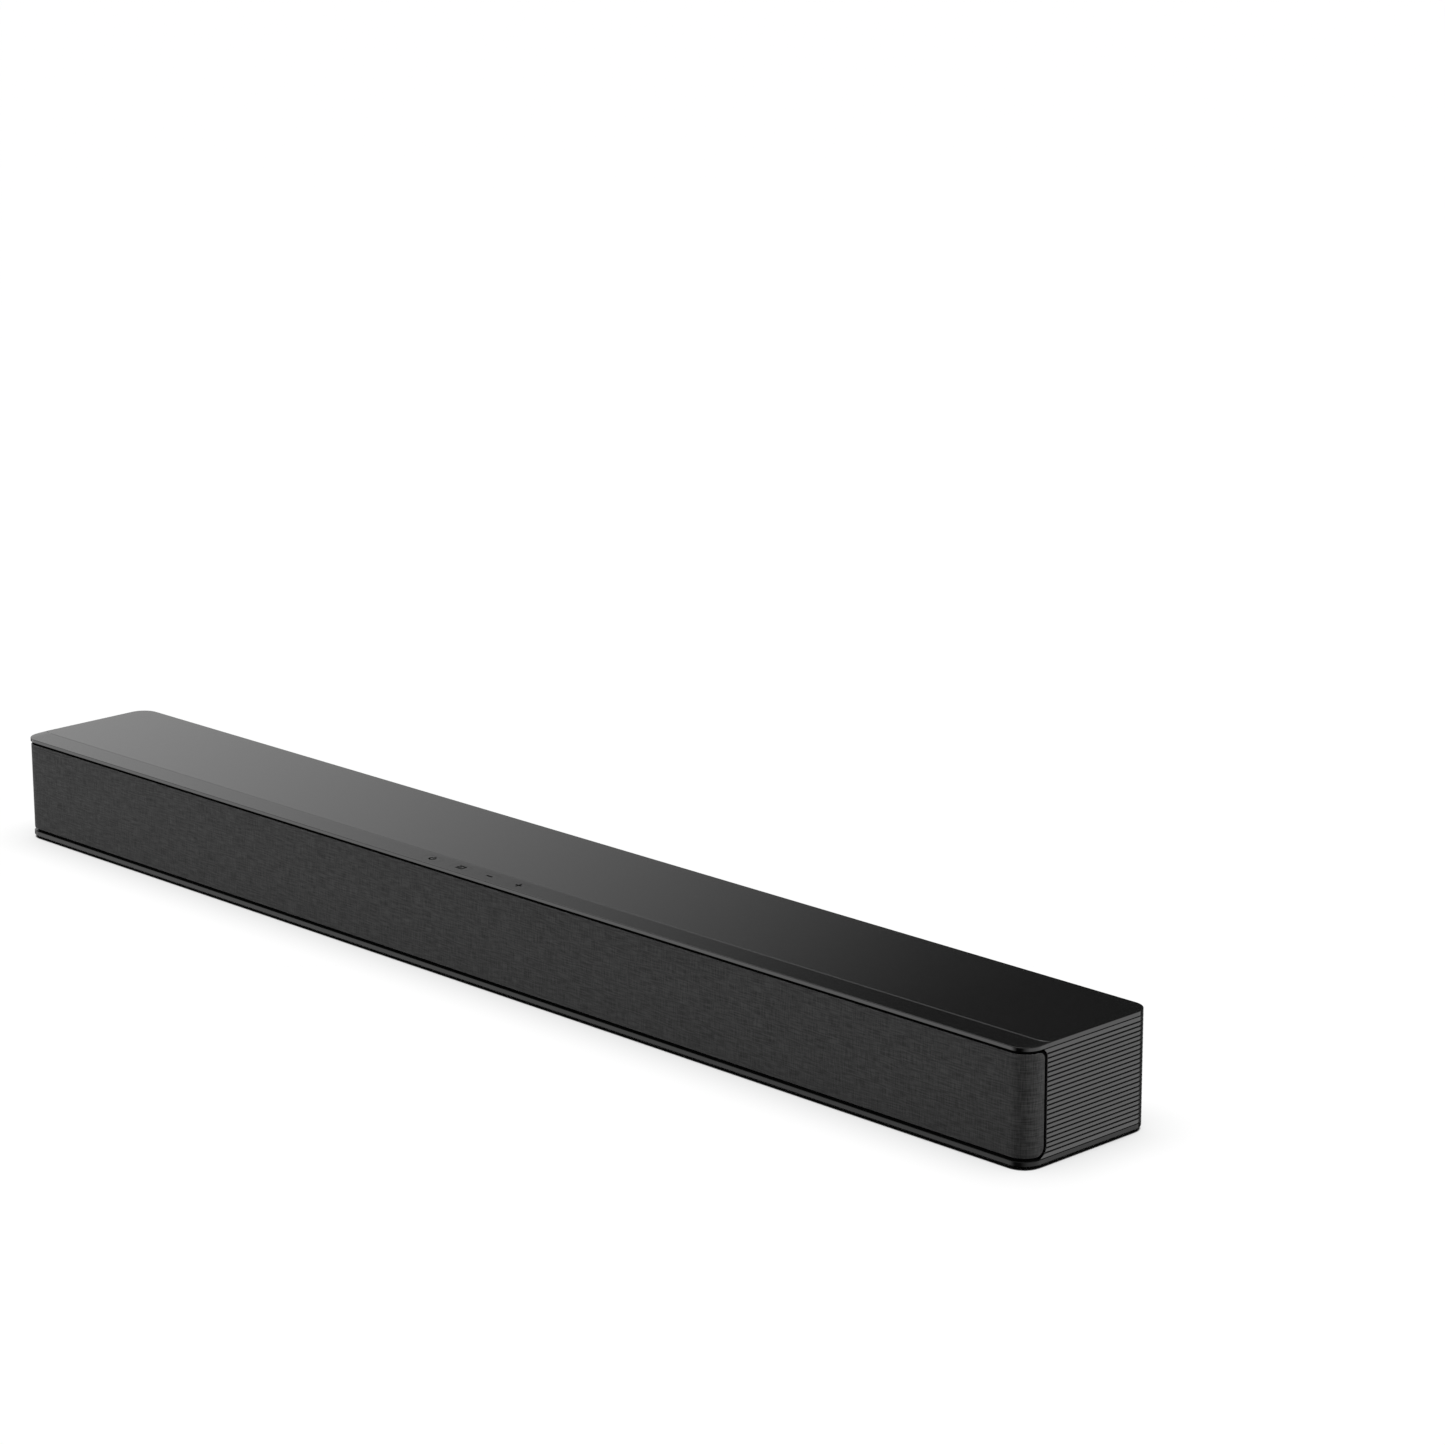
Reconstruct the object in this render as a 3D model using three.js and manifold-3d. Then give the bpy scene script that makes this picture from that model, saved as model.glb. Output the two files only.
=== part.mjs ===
// A soundbar: a long, low cabinet with a cloth grille round its front, ribbed end caps, a satin top cover
// with four keys, four drivers on a baffle, and a rear panel with two recessed bays for its sockets.
// Millimetres. +X runs along the bar to its right end, -Y is the front, +Z is up.
// The origin is at the middle of the box's underside, level with the feet.

import * as THREE from "three";
import { mergeVertices } from "three/addons/utils/BufferGeometryUtils.js";
import Module from "manifold-3d";

const wasm = await Module();
wasm.setup();

// ---- Driving dimensions ----

const LENGTH = 800;
const DEPTH = 90;
const HEIGHT = 61.5;
const CORNER_RADIUS = 10.3;
const CORNER_STEPS = 5;
const GAP = 0.3; // between pieces that face each other
const PAST = 1; // how far a cutter runs past the face it cuts
const ROOT = 0.5; // how far a post or a component runs into what it stands on

// Levels, from the surface the bar stands on
const FOOT_HEIGHT = 1.4;
const BOTTOM_RIM_TOP = 4.3;
const CAP_BOTTOM = 5.0;
const CAP_TOP = 58.2;
const CLOTH_BOTTOM = 5.8;
const CLOTH_TOP = 58.0;
const TOP_RIM_BOTTOM = 59.1;

// Front strip of the top cover
const STRIP_DEPTH = 15;
const STRIP_FALL = 0.4;
const CREASE_WIDTH = 0.6;
const CREASE_DEPTH = 0.3;

// Ribbed end caps
const RIB_PITCH = 2.348;
const RIB_GROOVE_WIDTH = 0.75;
const RIB_GROOVE_DEPTH = 0.6;
const FIRST_GROOVE_Z = 4.6;
const CAP_FRONT = 14.8; // from the front of the bar
const CAP_REAR_RETURN = 18; // how far it turns along the back, from the end of the bar
const CAP_THICKNESS = 2.6;

// Cloth grille
const CLOTH_END = 13.4; // from the front of the bar
const CLOTH_INSET = 0.3;
const CLOTH_THICKNESS = 0.4;
const FRAME_END = 14.1; // from the front of the bar
const FRAME_INSET = 0.9;
const FRAME_THICKNESS = 1.3;
const FLANGE_THICKNESS = 1.0;

// Keys
const KEY_PITCH = 23.2;
const KEY_WIDTH = 13;
const KEY_DEPTH = 6.6;
const KEY_FROM_FRONT = 7.3;
const KEY_NAMES = ["power_key", "source_key", "volume_down_key", "volume_up_key"];

// Drivers, from left to right
const DRIVER_X = [-315, -215, 215, 315];
const DRIVER_NAMES = ["outer_left", "inner_left", "inner_right", "outer_right"];
const DRIVER_Z = 32;
const FLANGE_RADIUS = 25;
const DRIVER_HOLE_RADIUS = 22.5;
const MAGNET = { fromBaffle: 12, length: 11, radius: 17 };
const BAFFLE_FRONT = -36;
const BAFFLE_BACK = -32;
const ROUND_SIDES = 16;

// Rear panel and its bays: spans are [low, high] along X or Z
const PANEL_INNER = 42.5;
const BAY_SPAN_X = [-70, 50];
const INLET_BAY_SPAN_X = [92, 136];
const BAY_SPAN_Z = [14, 38];
const BAY_FLOOR = 34;
const BAY_WALL = 1.6;
const SOCKET_Z = 25;
const KEYHOLE_X = 250;
const KEYHOLE_Z = 44;
const KEYHOLE_HEAD_RADIUS = 4.4;
const KEYHOLE_SLOT_RADIUS = 2.6;
const KEYHOLE_RISE = 8;

// Boards inside
const BOARD_UNDERSIDE = 17.6;
const BOARD_TOP = 19.2;
const BOARD_FRONT = -20;
const KEY_BOARD_TOP = 53;
const KEY_BOARD_THICKNESS = 1.6;
const KEY_BOARD_FRONT = -41.5;
const KEY_BOARD_BACK = -27;
const KEY_BOARD_HALF = 60;
const SWITCH = { half: 3, height: 3, plungerRadius: 1.6, plungerTop: 4 };

// Covers
const COVER_WALL = 2;
const RIM_WIDTH = 3;
const TRAY_FLOOR = 3.4;
const TRAY_CHAMFER = 1.3;
const COVER_TAB = { length: 30, bottom: 52 };
const KEY_BOARD_LUG = { x: 56, width: 6, front: -31 };
const BOARD_POST_RADIUS = 2.5;

// Screws, their bosses, and feet in the bottom cover
const SCREW_X = [-340, 71, 340];
const FRONT_SCREW_Y = -28;
const REAR_SCREW_Y = 37;
const SCREW_HOLE_RADIUS = 1.8;
const SCREW_SHANK_RADIUS = 1.4;
const SCREW_SHANK_LENGTH = 9;
const SCREW_HEAD = { radius: 2.9, height: 0.7, above: 0.1 };
const WELL = { radius: 3.4, depth: 0.9 };
const BOSS = { half: 4, top: 15, holeDepth: 8 };
const FOOT_X = 300;
const FOOT_Y = 30;

const HALF_LENGTH = LENGTH / 2;
const HALF_DEPTH = DEPTH / 2;
const FRONT = -HALF_DEPTH;

// ---- Materials ----

function plain(color, roughness, metalness = 0) {
  return new THREE.MeshStandardMaterial({ color, roughness, metalness });
}

const satinBlack = plain(0x252525, 0.38);
const ribbedBlack = plain(0x2a2a2a, 0.5);
const innerBlack = plain(0x151515, 0.7);
const clothBlack = plain(0x232323, 0.95);
const rubberBlack = plain(0x101010, 0.9);
const paperCone = plain(0x1c1c1c, 0.85);
const pressedSteel = plain(0x8a8c8e, 0.4, 0.9);
const ferrite = plain(0x2c2c2e, 0.7);
const boardGreen = plain(0x17452b, 0.5);
const extrudedAluminium = plain(0xb4b6b8, 0.4, 0.9);
const blackedScrew = plain(0x1a1a1b, 0.45, 0.8);
const insulation = plain(0x151515, 0.5);

// ---- Solids ----

// A closed three.js geometry as a solid that can be cut and joined.
function solid(geometry) {
  const bare = geometry.clone();
  bare.deleteAttribute("normal");
  bare.deleteAttribute("uv");
  const merged = mergeVertices(bare, 1e-4);
  return new wasm.Manifold(
    new wasm.Mesh({
      numProp: 3,
      vertProperties: merged.attributes.position.array,
      triVerts: new Uint32Array(merged.index.array),
    }),
  );
}

function geometryOf(made) {
  const mesh = made.getMesh();
  const geometry = new THREE.BufferGeometry();
  geometry.setAttribute("position", new THREE.BufferAttribute(mesh.vertProperties, 3));
  geometry.setIndex(new THREE.BufferAttribute(mesh.triVerts, 1));
  geometry.computeVertexNormals();
  return geometry;
}

function cut(base, ...cutters) {
  return cutters.reduce((left, cutter) => left.subtract(cutter), base);
}

function join(base, ...others) {
  return others.reduce((sum, other) => sum.add(other), base);
}

// A block between two opposite corners.
function block([x0, y0, z0], [x1, y1, z1]) {
  const geometry = new THREE.BoxGeometry(x1 - x0, y1 - y0, z1 - z0);
  geometry.translate((x0 + x1) / 2, (y0 + y1) / 2, (z0 + z1) / 2);
  return solid(geometry);
}

// A round bar along an axis ("y" or "z"), from start for its length towards plus.
function bar(axis, start, length, radius, sides = 12) {
  const geometry = new THREE.CylinderGeometry(radius, radius, length, sides);
  geometry.translate(0, length / 2, 0);
  if (axis === "z") geometry.rotateX(Math.PI / 2);
  geometry.translate(...start);
  return solid(geometry);
}

// A flat outline in X and Y raised from z0 to z1.
function raised(shape, z0, z1, curveSegments = CORNER_STEPS) {
  const geometry = new THREE.ExtrudeGeometry(shape, {
    depth: z1 - z0,
    bevelEnabled: false,
    curveSegments,
  });
  geometry.translate(0, 0, z0);
  return solid(geometry);
}

// A flat outline in X and Z, cut from y0 to y1.
function upright(shape, y0, y1, curveSegments = CORNER_STEPS) {
  const geometry = new THREE.ExtrudeGeometry(shape, {
    depth: y1 - y0,
    bevelEnabled: false,
    curveSegments,
  });
  geometry.rotateX(Math.PI / 2);
  geometry.translate(0, y1, 0);
  return solid(geometry);
}

// A polygon in Y and Z carried along X from x0 to x1.
function alongX(points, x0, x1) {
  const shape = new THREE.Shape(points.map(([y, z]) => new THREE.Vector2(y, z)));
  const geometry = new THREE.ExtrudeGeometry(shape, { depth: x1 - x0, bevelEnabled: false });
  geometry.rotateZ(Math.PI / 2);
  geometry.rotateY(Math.PI / 2);
  geometry.translate(x0, 0, 0);
  return solid(geometry);
}

// A profile of [radius, y] points turned round an axis along Y.
function turned(profile, x, z, sides = ROUND_SIDES) {
  const geometry = new THREE.LatheGeometry(
    profile.map(([radius, y]) => new THREE.Vector2(radius, y)),
    sides,
  );
  geometry.translate(x, 0, z);
  return outward(solid(geometry), geometry);
}

// The solid of a geometry, with its faces turned round where its profile ran the other way.
function outward(made, geometry) {
  if (made.volume() > 0) return made;
  const index = geometry.index.array;
  for (let i = 0; i < index.length; i += 3) [index[i], index[i + 1]] = [index[i + 1], index[i]];
  return solid(geometry);
}

function roundedRectangle(x0, y0, x1, y1, radius) {
  const shape = new THREE.Shape();
  shape.moveTo(x0 + radius, y0);
  shape.lineTo(x1 - radius, y0);
  shape.absarc(x1 - radius, y0 + radius, radius, -Math.PI / 2, 0, false);
  shape.lineTo(x1, y1 - radius);
  shape.absarc(x1 - radius, y1 - radius, radius, 0, Math.PI / 2, false);
  shape.lineTo(x0 + radius, y1);
  shape.absarc(x0 + radius, y1 - radius, radius, Math.PI / 2, Math.PI, false);
  shape.lineTo(x0, y0 + radius);
  shape.absarc(x0 + radius, y0 + radius, radius, Math.PI, Math.PI * 1.5, false);
  return shape;
}

// The bar's outline in plan, drawn in by an inset.
function planOutline(inset) {
  return roundedRectangle(
    inset - HALF_LENGTH,
    inset - HALF_DEPTH,
    HALF_LENGTH - inset,
    HALF_DEPTH - inset,
    CORNER_RADIUS - inset,
  );
}

// Triangles that fill an outline, each running the same way round as the outline.
function lidTriangles(outline) {
  const { area, triangulateShape } = THREE.ShapeUtils;
  const turn = Math.sign(area(outline));
  return triangulateShape(outline, []).map(([a, b, c]) =>
    area([outline[a], outline[b], outline[c]]) * turn > 0 ? [a, b, c] : [a, c, b],
  );
}

// Joins rings of points, all of one count, into a closed skin with a flat lid on each end.
function loft(rings, lidOutline) {
  const size = rings[0].length;
  const index = [];
  for (let ring = 0; ring + 1 < rings.length; ring += 1)
    for (let i = 0; i < size; i += 1) {
      const a = ring * size + i;
      const b = ring * size + ((i + 1) % size);
      index.push(a, b, b + size, a, b + size, a + size);
    }
  const last = (rings.length - 1) * size;
  for (const [a, b, c] of lidTriangles(lidOutline)) {
    index.push(a, c, b);
    index.push(last + a, last + b, last + c);
  }
  const geometry = new THREE.BufferGeometry();
  const positions = rings.flat().flatMap((point) => point.toArray());
  geometry.setAttribute("position", new THREE.Float32BufferAttribute(positions, 3));
  geometry.setIndex(index);
  return outward(solid(geometry), geometry);
}

// Stations [x, y, outward x, outward y] round one corner of the plan outline, from angle to angle.
function cornerStations(sideX, sideY, fromAngle, toAngle) {
  const stations = [];
  for (let step = 0; step <= CORNER_STEPS; step += 1) {
    const angle = fromAngle + ((toAngle - fromAngle) * step) / CORNER_STEPS;
    const out = [Math.cos(angle), Math.sin(angle)];
    stations.push([
      sideX * (HALF_LENGTH - CORNER_RADIUS) + CORNER_RADIUS * out[0],
      sideY * (HALF_DEPTH - CORNER_RADIUS) + CORNER_RADIUS * out[1],
      ...out,
    ]);
  }
  return stations;
}

// A section of [inset, z] points carried along stations of the plan outline.
function carried(section, stations) {
  const rings = stations.map(([x, y, outX, outY]) =>
    section.map(([inset, z]) => new THREE.Vector3(x - outX * inset, y - outY * inset, z)),
  );
  return loft(rings, section.map(([inset, z]) => new THREE.Vector2(inset, z)));
}

// The path of the grille: from the left end, round both front corners, to the right end.
function grillePath(endFromFront) {
  const endY = FRONT + endFromFront;
  return [
    [-HALF_LENGTH, endY, -1, 0],
    ...cornerStations(-1, -1, Math.PI, Math.PI * 1.5),
    ...cornerStations(1, -1, -Math.PI / 2, 0),
    [HALF_LENGTH, endY, 1, 0],
  ];
}

// ---- Assembly ----

const soundbar = new THREE.Group();

function addPiece(name, made, material) {
  const mesh = new THREE.Mesh(geometryOf(made), material);
  mesh.name = name;
  soundbar.add(mesh);
}

// ---- Casing ----

const keyCentres = KEY_NAMES.map((_, i) => (i - (KEY_NAMES.length - 1) / 2) * KEY_PITCH);
const KEY_Y = FRONT + KEY_FROM_FRONT;
const STRIP_BACK = FRONT + STRIP_DEPTH;

// Height of the sloping front strip at a place between the front and the crease.
function stripHeight(y) {
  return HEIGHT - (STRIP_FALL * (STRIP_BACK - y)) / STRIP_DEPTH;
}

function keyFootprint(x, grow) {
  return [
    [x - KEY_WIDTH / 2 - grow, KEY_Y - KEY_DEPTH / 2 - grow],
    [x + KEY_WIDTH / 2 + grow, KEY_Y + KEY_DEPTH / 2 + grow],
  ];
}

function topCover() {
  const underside = HEIGHT - COVER_WALL;
  const shell = cut(
    raised(planOutline(0), TOP_RIM_BOTTOM, HEIGHT),
    raised(planOutline(RIM_WIDTH), TOP_RIM_BOTTOM - PAST, underside),
  );
  const creaseFront = STRIP_BACK - CREASE_WIDTH;
  const overStrip = alongX(
    [
      [FRONT - PAST, stripHeight(FRONT - PAST)],
      [creaseFront, stripHeight(creaseFront)],
      [STRIP_BACK - CREASE_WIDTH / 2, HEIGHT - CREASE_DEPTH],
      [STRIP_BACK, HEIGHT],
      [STRIP_BACK, HEIGHT + PAST],
      [FRONT - PAST, HEIGHT + PAST],
    ],
    -HALF_LENGTH - PAST,
    HALF_LENGTH + PAST,
  );
  const keyHoles = keyCentres.map((x) => {
    const [low, high] = keyFootprint(x, GAP);
    return block([...low, underside - PAST], [...high, HEIGHT + PAST]);
  });
  // Tabs that hang inside the rear panel, and two lugs that carry the key board.
  const rooted = underside + COVER_WALL / 2;
  const tabBack = PANEL_INNER - GAP;
  const tabs = SCREW_X.map((x) =>
    block(
      [x - COVER_TAB.length / 2, tabBack - COVER_WALL, COVER_TAB.bottom],
      [x + COVER_TAB.length / 2, tabBack, rooted],
    ),
  );
  const lugs = [-KEY_BOARD_LUG.x, KEY_BOARD_LUG.x].map((x) =>
    block(
      [x - KEY_BOARD_LUG.width / 2, KEY_BOARD_LUG.front, KEY_BOARD_TOP],
      [x + KEY_BOARD_LUG.width / 2, KEY_BOARD_BACK, rooted],
    ),
  );
  return join(cut(shell, overStrip, ...keyHoles), ...tabs, ...lugs);
}

function bottomCover() {
  const body = new THREE.ExtrudeGeometry(planOutline(TRAY_CHAMFER), {
    depth: BOTTOM_RIM_TOP - FOOT_HEIGHT,
    bevelThickness: TRAY_CHAMFER,
    bevelSize: TRAY_CHAMFER,
    bevelSegments: 1,
    curveSegments: CORNER_STEPS,
  });
  body.translate(0, 0, FOOT_HEIGHT + TRAY_CHAMFER);
  const aboveRim = block(
    [-LENGTH, -DEPTH, BOTTOM_RIM_TOP],
    [LENGTH, DEPTH, BOTTOM_RIM_TOP + HEIGHT],
  );
  const inside = raised(planOutline(RIM_WIDTH), TRAY_FLOOR, BOTTOM_RIM_TOP + PAST);
  const holes = screwPlaces().flatMap(([x, y]) => [
    bar("z", [x, y, FOOT_HEIGHT - PAST], TRAY_FLOOR + PAST, SCREW_HOLE_RADIUS, 8),
    bar("z", [x, y, FOOT_HEIGHT - PAST], WELL.depth + PAST, WELL.radius),
  ]);
  const postFoot = TRAY_FLOOR - ROOT;
  const posts = boardPosts().map(([x, y]) =>
    bar("z", [x, y, postFoot], BOARD_UNDERSIDE - GAP - postFoot, BOARD_POST_RADIUS, 6),
  );
  return join(cut(solid(body), aboveRim, inside, ...holes), ...posts);
}

// Screws in two rows: into the baffle's bosses in front and the rear panel's behind.
function screwPlaces() {
  return [FRONT_SCREW_Y, REAR_SCREW_Y].flatMap((y) => SCREW_X.map((x) => [x, y]));
}

// Posts that carry the two boards.
function boardPosts() {
  return [-84, 50, 78, 180].flatMap((x) => [-14, 14].map((y) => [x, y]));
}

function capSection() {
  const section = [[CAP_THICKNESS, CAP_BOTTOM], [0, CAP_BOTTOM]];
  const grooves = Math.round((CAP_TOP - CAP_BOTTOM) / RIB_PITCH) - 1;
  for (let i = 1; i <= grooves; i += 1) {
    const z = FIRST_GROOVE_Z + i * RIB_PITCH;
    section.push([0, z - RIB_GROOVE_WIDTH / 2]);
    section.push([RIB_GROOVE_DEPTH, z]);
    section.push([0, z + RIB_GROOVE_WIDTH / 2]);
  }
  section.push([0, CAP_TOP], [CAP_THICKNESS, CAP_TOP]);
  return section;
}

// A ribbed end cap: side = -1 for the left end, 1 for the right.
function endCap(side) {
  const corner = side > 0 ? [0, Math.PI / 2] : [Math.PI, Math.PI / 2];
  return carried(capSection(), [
    [side * HALF_LENGTH, FRONT + CAP_FRONT, side, 0],
    ...cornerStations(side, 1, ...corner),
    [side * (HALF_LENGTH - CAP_REAR_RETURN), HALF_DEPTH, 0, 1],
  ]);
}

function grilleFrame() {
  const bodyInset = FRAME_INSET + FRAME_THICKNESS;
  const flangeInset = bodyInset + FLANGE_THICKNESS;
  const clothTurn = 0.5;
  const flangeLow = BOTTOM_RIM_TOP + GAP;
  const flangeHigh = TOP_RIM_BOTTOM - GAP;
  const bodyLow = CLOTH_BOTTOM + clothTurn;
  const bodyHigh = CLOTH_TOP - clothTurn;
  const section = [
    [flangeInset, flangeLow],
    [bodyInset, flangeLow],
    [bodyInset, bodyLow],
    [FRAME_INSET, bodyLow],
    [FRAME_INSET, bodyHigh],
    [bodyInset, bodyHigh],
    [bodyInset, flangeHigh],
    [flangeInset, flangeHigh],
  ];
  const slotWidth = 8;
  const slotPitch = 11;
  const slotsPerDriver = 4;
  const slotHalfHeight = 20;
  const slots = DRIVER_X.flatMap((x) =>
    Array.from({ length: slotsPerDriver }, (_, i) => {
      const centre = x + (i - (slotsPerDriver - 1) / 2) * slotPitch;
      return block(
        [centre - slotWidth / 2, FRONT - PAST, DRIVER_Z - slotHalfHeight],
        [centre + slotWidth / 2, FRONT + flangeInset + PAST, DRIVER_Z + slotHalfHeight],
      );
    }),
  );
  return cut(carried(section, grillePath(FRAME_END)), ...slots);
}

function grilleFabric() {
  const inner = CLOTH_INSET + CLOTH_THICKNESS;
  const section = [
    [inner, CLOTH_BOTTOM],
    [CLOTH_INSET, CLOTH_BOTTOM],
    [CLOTH_INSET, CLOTH_TOP],
    [inner, CLOTH_TOP],
  ];
  return carried(section, grillePath(CLOTH_END));
}

// ---- Rear ----

function keyhole(x) {
  const shape = new THREE.Shape();
  const meet = Math.acos(KEYHOLE_SLOT_RADIUS / KEYHOLE_HEAD_RADIUS);
  const headTop = KEYHOLE_HEAD_RADIUS * Math.sin(meet);
  shape.moveTo(x + KEYHOLE_SLOT_RADIUS, KEYHOLE_Z + headTop);
  shape.lineTo(x + KEYHOLE_SLOT_RADIUS, KEYHOLE_Z + KEYHOLE_RISE);
  shape.absarc(x, KEYHOLE_Z + KEYHOLE_RISE, KEYHOLE_SLOT_RADIUS, 0, Math.PI, false);
  shape.lineTo(x - KEYHOLE_SLOT_RADIUS, KEYHOLE_Z + headTop);
  shape.absarc(x, KEYHOLE_Z, KEYHOLE_HEAD_RADIUS, Math.PI - meet, Math.PI * 2 + meet, false);
  return shape;
}

// A boss from y0 to y1 that takes a screw at (x, screwY) from below.
function screwBoss(x, screwY, y0, y1, bottom) {
  return cut(
    block([x - BOSS.half, y0, bottom], [x + BOSS.half, y1, BOSS.top]),
    bar("z", [x, screwY, bottom - PAST], BOSS.holeDepth + PAST, SCREW_HOLE_RADIUS, 8),
  );
}

function rearPanel() {
  const edge = HALF_LENGTH - CAP_REAR_RETURN - GAP;
  const windows = [BAY_SPAN_X, INLET_BAY_SPAN_X].map(([x0, x1]) =>
    block([x0, PANEL_INNER - PAST, BAY_SPAN_Z[0]], [x1, HALF_DEPTH + PAST, BAY_SPAN_Z[1]]),
  );
  const keyholes = [-KEYHOLE_X, KEYHOLE_X].map((x) =>
    upright(keyhole(x), PANEL_INNER - PAST, HALF_DEPTH + PAST, 4),
  );
  const bosses = SCREW_X.map((x) =>
    screwBoss(x, REAR_SCREW_Y, REAR_SCREW_Y - BOSS.half, PANEL_INNER + PAST, CAP_BOTTOM),
  );
  const panel = block([-edge, PANEL_INNER, CAP_BOTTOM], [edge, HALF_DEPTH, CAP_TOP]);
  return join(cut(panel, ...windows, ...keyholes), ...bosses);
}

// A tub behind a window of the rear panel, with holes in its floor for the sockets.
function bayTub([x0, x1], socketHoles) {
  const lip = 4;
  const lipThickness = 1.2;
  const [z0, z1] = BAY_SPAN_Z;
  const lipBack = PANEL_INNER - GAP;
  const outer = join(
    block([x0 - BAY_WALL, BAY_FLOOR - BAY_WALL, z0 - BAY_WALL], [x1 + BAY_WALL, lipBack, z1 + BAY_WALL]),
    block([x0 - lip, lipBack - lipThickness, z0 - lip], [x1 + lip, lipBack, z1 + lip]),
  );
  return cut(outer, block([x0, BAY_FLOOR, z0], [x1, lipBack + PAST, z1]), ...socketHoles);
}

// Sockets on the main board: centre, half width and half height of each body, and of its mouth.
const SOCKETS = {
  hdmi_socket: { x: -46, half: [7.5, 3.1], mouth: [7, 2.3], reach: 10 },
  usb_socket: { x: -18, half: [7.2, 3.6], mouth: [6.3, 2.6], reach: 11 },
  optical_socket: { x: 8, half: [5.5, 5.5], mouth: [4.2, 4.2], reach: 9 },
  aux_jack: { x: 32, half: [4.5, 4.5], reach: 11 },
};
const SOCKET_FACE = BAY_FLOOR + 0.6;
const SOCKET_BACK = 2; // thickness behind the mouth
const JACK_RADIUS = 1.8;

function socketHole({ x, half: [w, h] }) {
  return block(
    [x - w - GAP, BAY_FLOOR - BAY_WALL - PAST, SOCKET_Z - h - GAP],
    [x + w + GAP, BAY_FLOOR + PAST, SOCKET_Z + h + GAP],
  );
}

// A socket body that looks out through the bay's floor and stands a little proud of it.
function socketBody({ x, half: [w, h], mouth, reach }) {
  const bottom = SOCKET_FACE - reach;
  const body = block([x - w, bottom - SOCKET_BACK, SOCKET_Z - h], [x + w, SOCKET_FACE, SOCKET_Z + h]);
  if (!mouth) return cut(body, bar("y", [x, bottom, SOCKET_Z], reach + PAST, JACK_RADIUS));
  const [mw, mh] = mouth;
  return cut(
    body,
    block([x - mw, bottom, SOCKET_Z - mh], [x + mw, SOCKET_FACE + PAST, SOCKET_Z + mh]),
  );
}

const INLET_X = (INLET_BAY_SPAN_X[0] + INLET_BAY_SPAN_X[1]) / 2;
const INLET_HALF = [11, 7];
const INLET_MOUTH = { half: [7.8, 4.3], radius: 4.2, depth: 13 };
const INLET_PIN = { spread: 4.3, radius: 1.2, length: 11 };

// The two-pin mains inlet: a block with a recess that has round ends, and two pins in it.
function powerInlet() {
  const [w, h] = INLET_HALF;
  const [mw, mh] = INLET_MOUTH.half;
  const bottom = SOCKET_FACE - INLET_MOUTH.depth;
  const mouth = roundedRectangle(
    INLET_X - mw,
    SOCKET_Z - mh,
    INLET_X + mw,
    SOCKET_Z + mh,
    INLET_MOUTH.radius,
  );
  const body = block(
    [INLET_X - w, bottom - SOCKET_BACK, SOCKET_Z - h],
    [INLET_X + w, SOCKET_FACE, SOCKET_Z + h],
  );
  const pins = [-INLET_PIN.spread, INLET_PIN.spread].map((x) =>
    bar("y", [INLET_X + x, bottom - PAST, SOCKET_Z], INLET_PIN.length, INLET_PIN.radius, 8),
  );
  return join(cut(body, upright(mouth, bottom, SOCKET_FACE + PAST)), ...pins);
}

// The sprung door inside the optical socket's mouth, hinged along its top edge.
function opticalFlap() {
  const { x, mouth: [w, h] } = SOCKETS.optical_socket;
  const clear = 0.4;
  const thickness = 0.7;
  const face = BAY_FLOOR - 0.2;
  return block(
    [x - w + clear, face - thickness, SOCKET_Z - h + clear],
    [x + w - clear, face, SOCKET_Z + h - clear],
  );
}

// ---- Drivers ----

function frontBaffle() {
  const plateLow = CAP_BOTTOM + 0.5;
  const plateHigh = CLOTH_TOP;
  const halfLength = 385;
  const thickness = BAFFLE_BACK - BAFFLE_FRONT;
  const plate = block(
    [-halfLength, BAFFLE_FRONT, plateLow],
    [halfLength, BAFFLE_BACK, plateHigh],
  );
  const holes = DRIVER_X.map((x) =>
    bar("y", [x, BAFFLE_FRONT - PAST, DRIVER_Z], thickness + 2 * PAST, DRIVER_HOLE_RADIUS, ROUND_SIDES),
  );
  const notchHalf = KEY_BOARD_HALF + 4;
  const keyNotch = block(
    [-notchHalf, BAFFLE_FRONT - PAST, 50],
    [notchHalf, BAFFLE_BACK + PAST, plateHigh + PAST],
  );
  const bosses = SCREW_X.map((x) =>
    screwBoss(x, FRONT_SCREW_Y, BAFFLE_BACK - PAST, FRONT_SCREW_Y + BOSS.half, plateLow),
  );
  return join(cut(plate, ...holes, keyNotch), ...bosses);
}

// Profiles of one driver, as [radius, y] with y from the baffle's front face.
function basket(x) {
  return turned(
    [
      [22, -1.4],
      [FLANGE_RADIUS, -1.4],
      [FLANGE_RADIUS, -GAP / 2],
      [22, -GAP / 2],
      [21.5, 3],
      [15, 12],
      [11, 12],
      [11, 11],
      [14, 11],
      [20.2, 2.4],
      [20.2, -0.6],
      [22, -0.6],
      [22, -1.4],
    ].map(([radius, y]) => [radius, y + BAFFLE_FRONT]),
    x,
    DRIVER_Z,
  );
}

function surround(x) {
  return turned(
    [
      [24, -1.7],
      [24, -2.3],
      [21.6, -2.5],
      [20.4, -3.7],
      [18.8, -3.7],
      [17.6, -2.5],
      [17.2, -2.0],
      [17.8, -1.7],
      [18.6, -2.7],
      [20.4, -2.9],
      [21.4, -1.9],
      [24, -1.7],
    ].map(([radius, y]) => [radius, y + BAFFLE_FRONT]),
    x,
    DRIVER_Z,
  );
}

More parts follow.
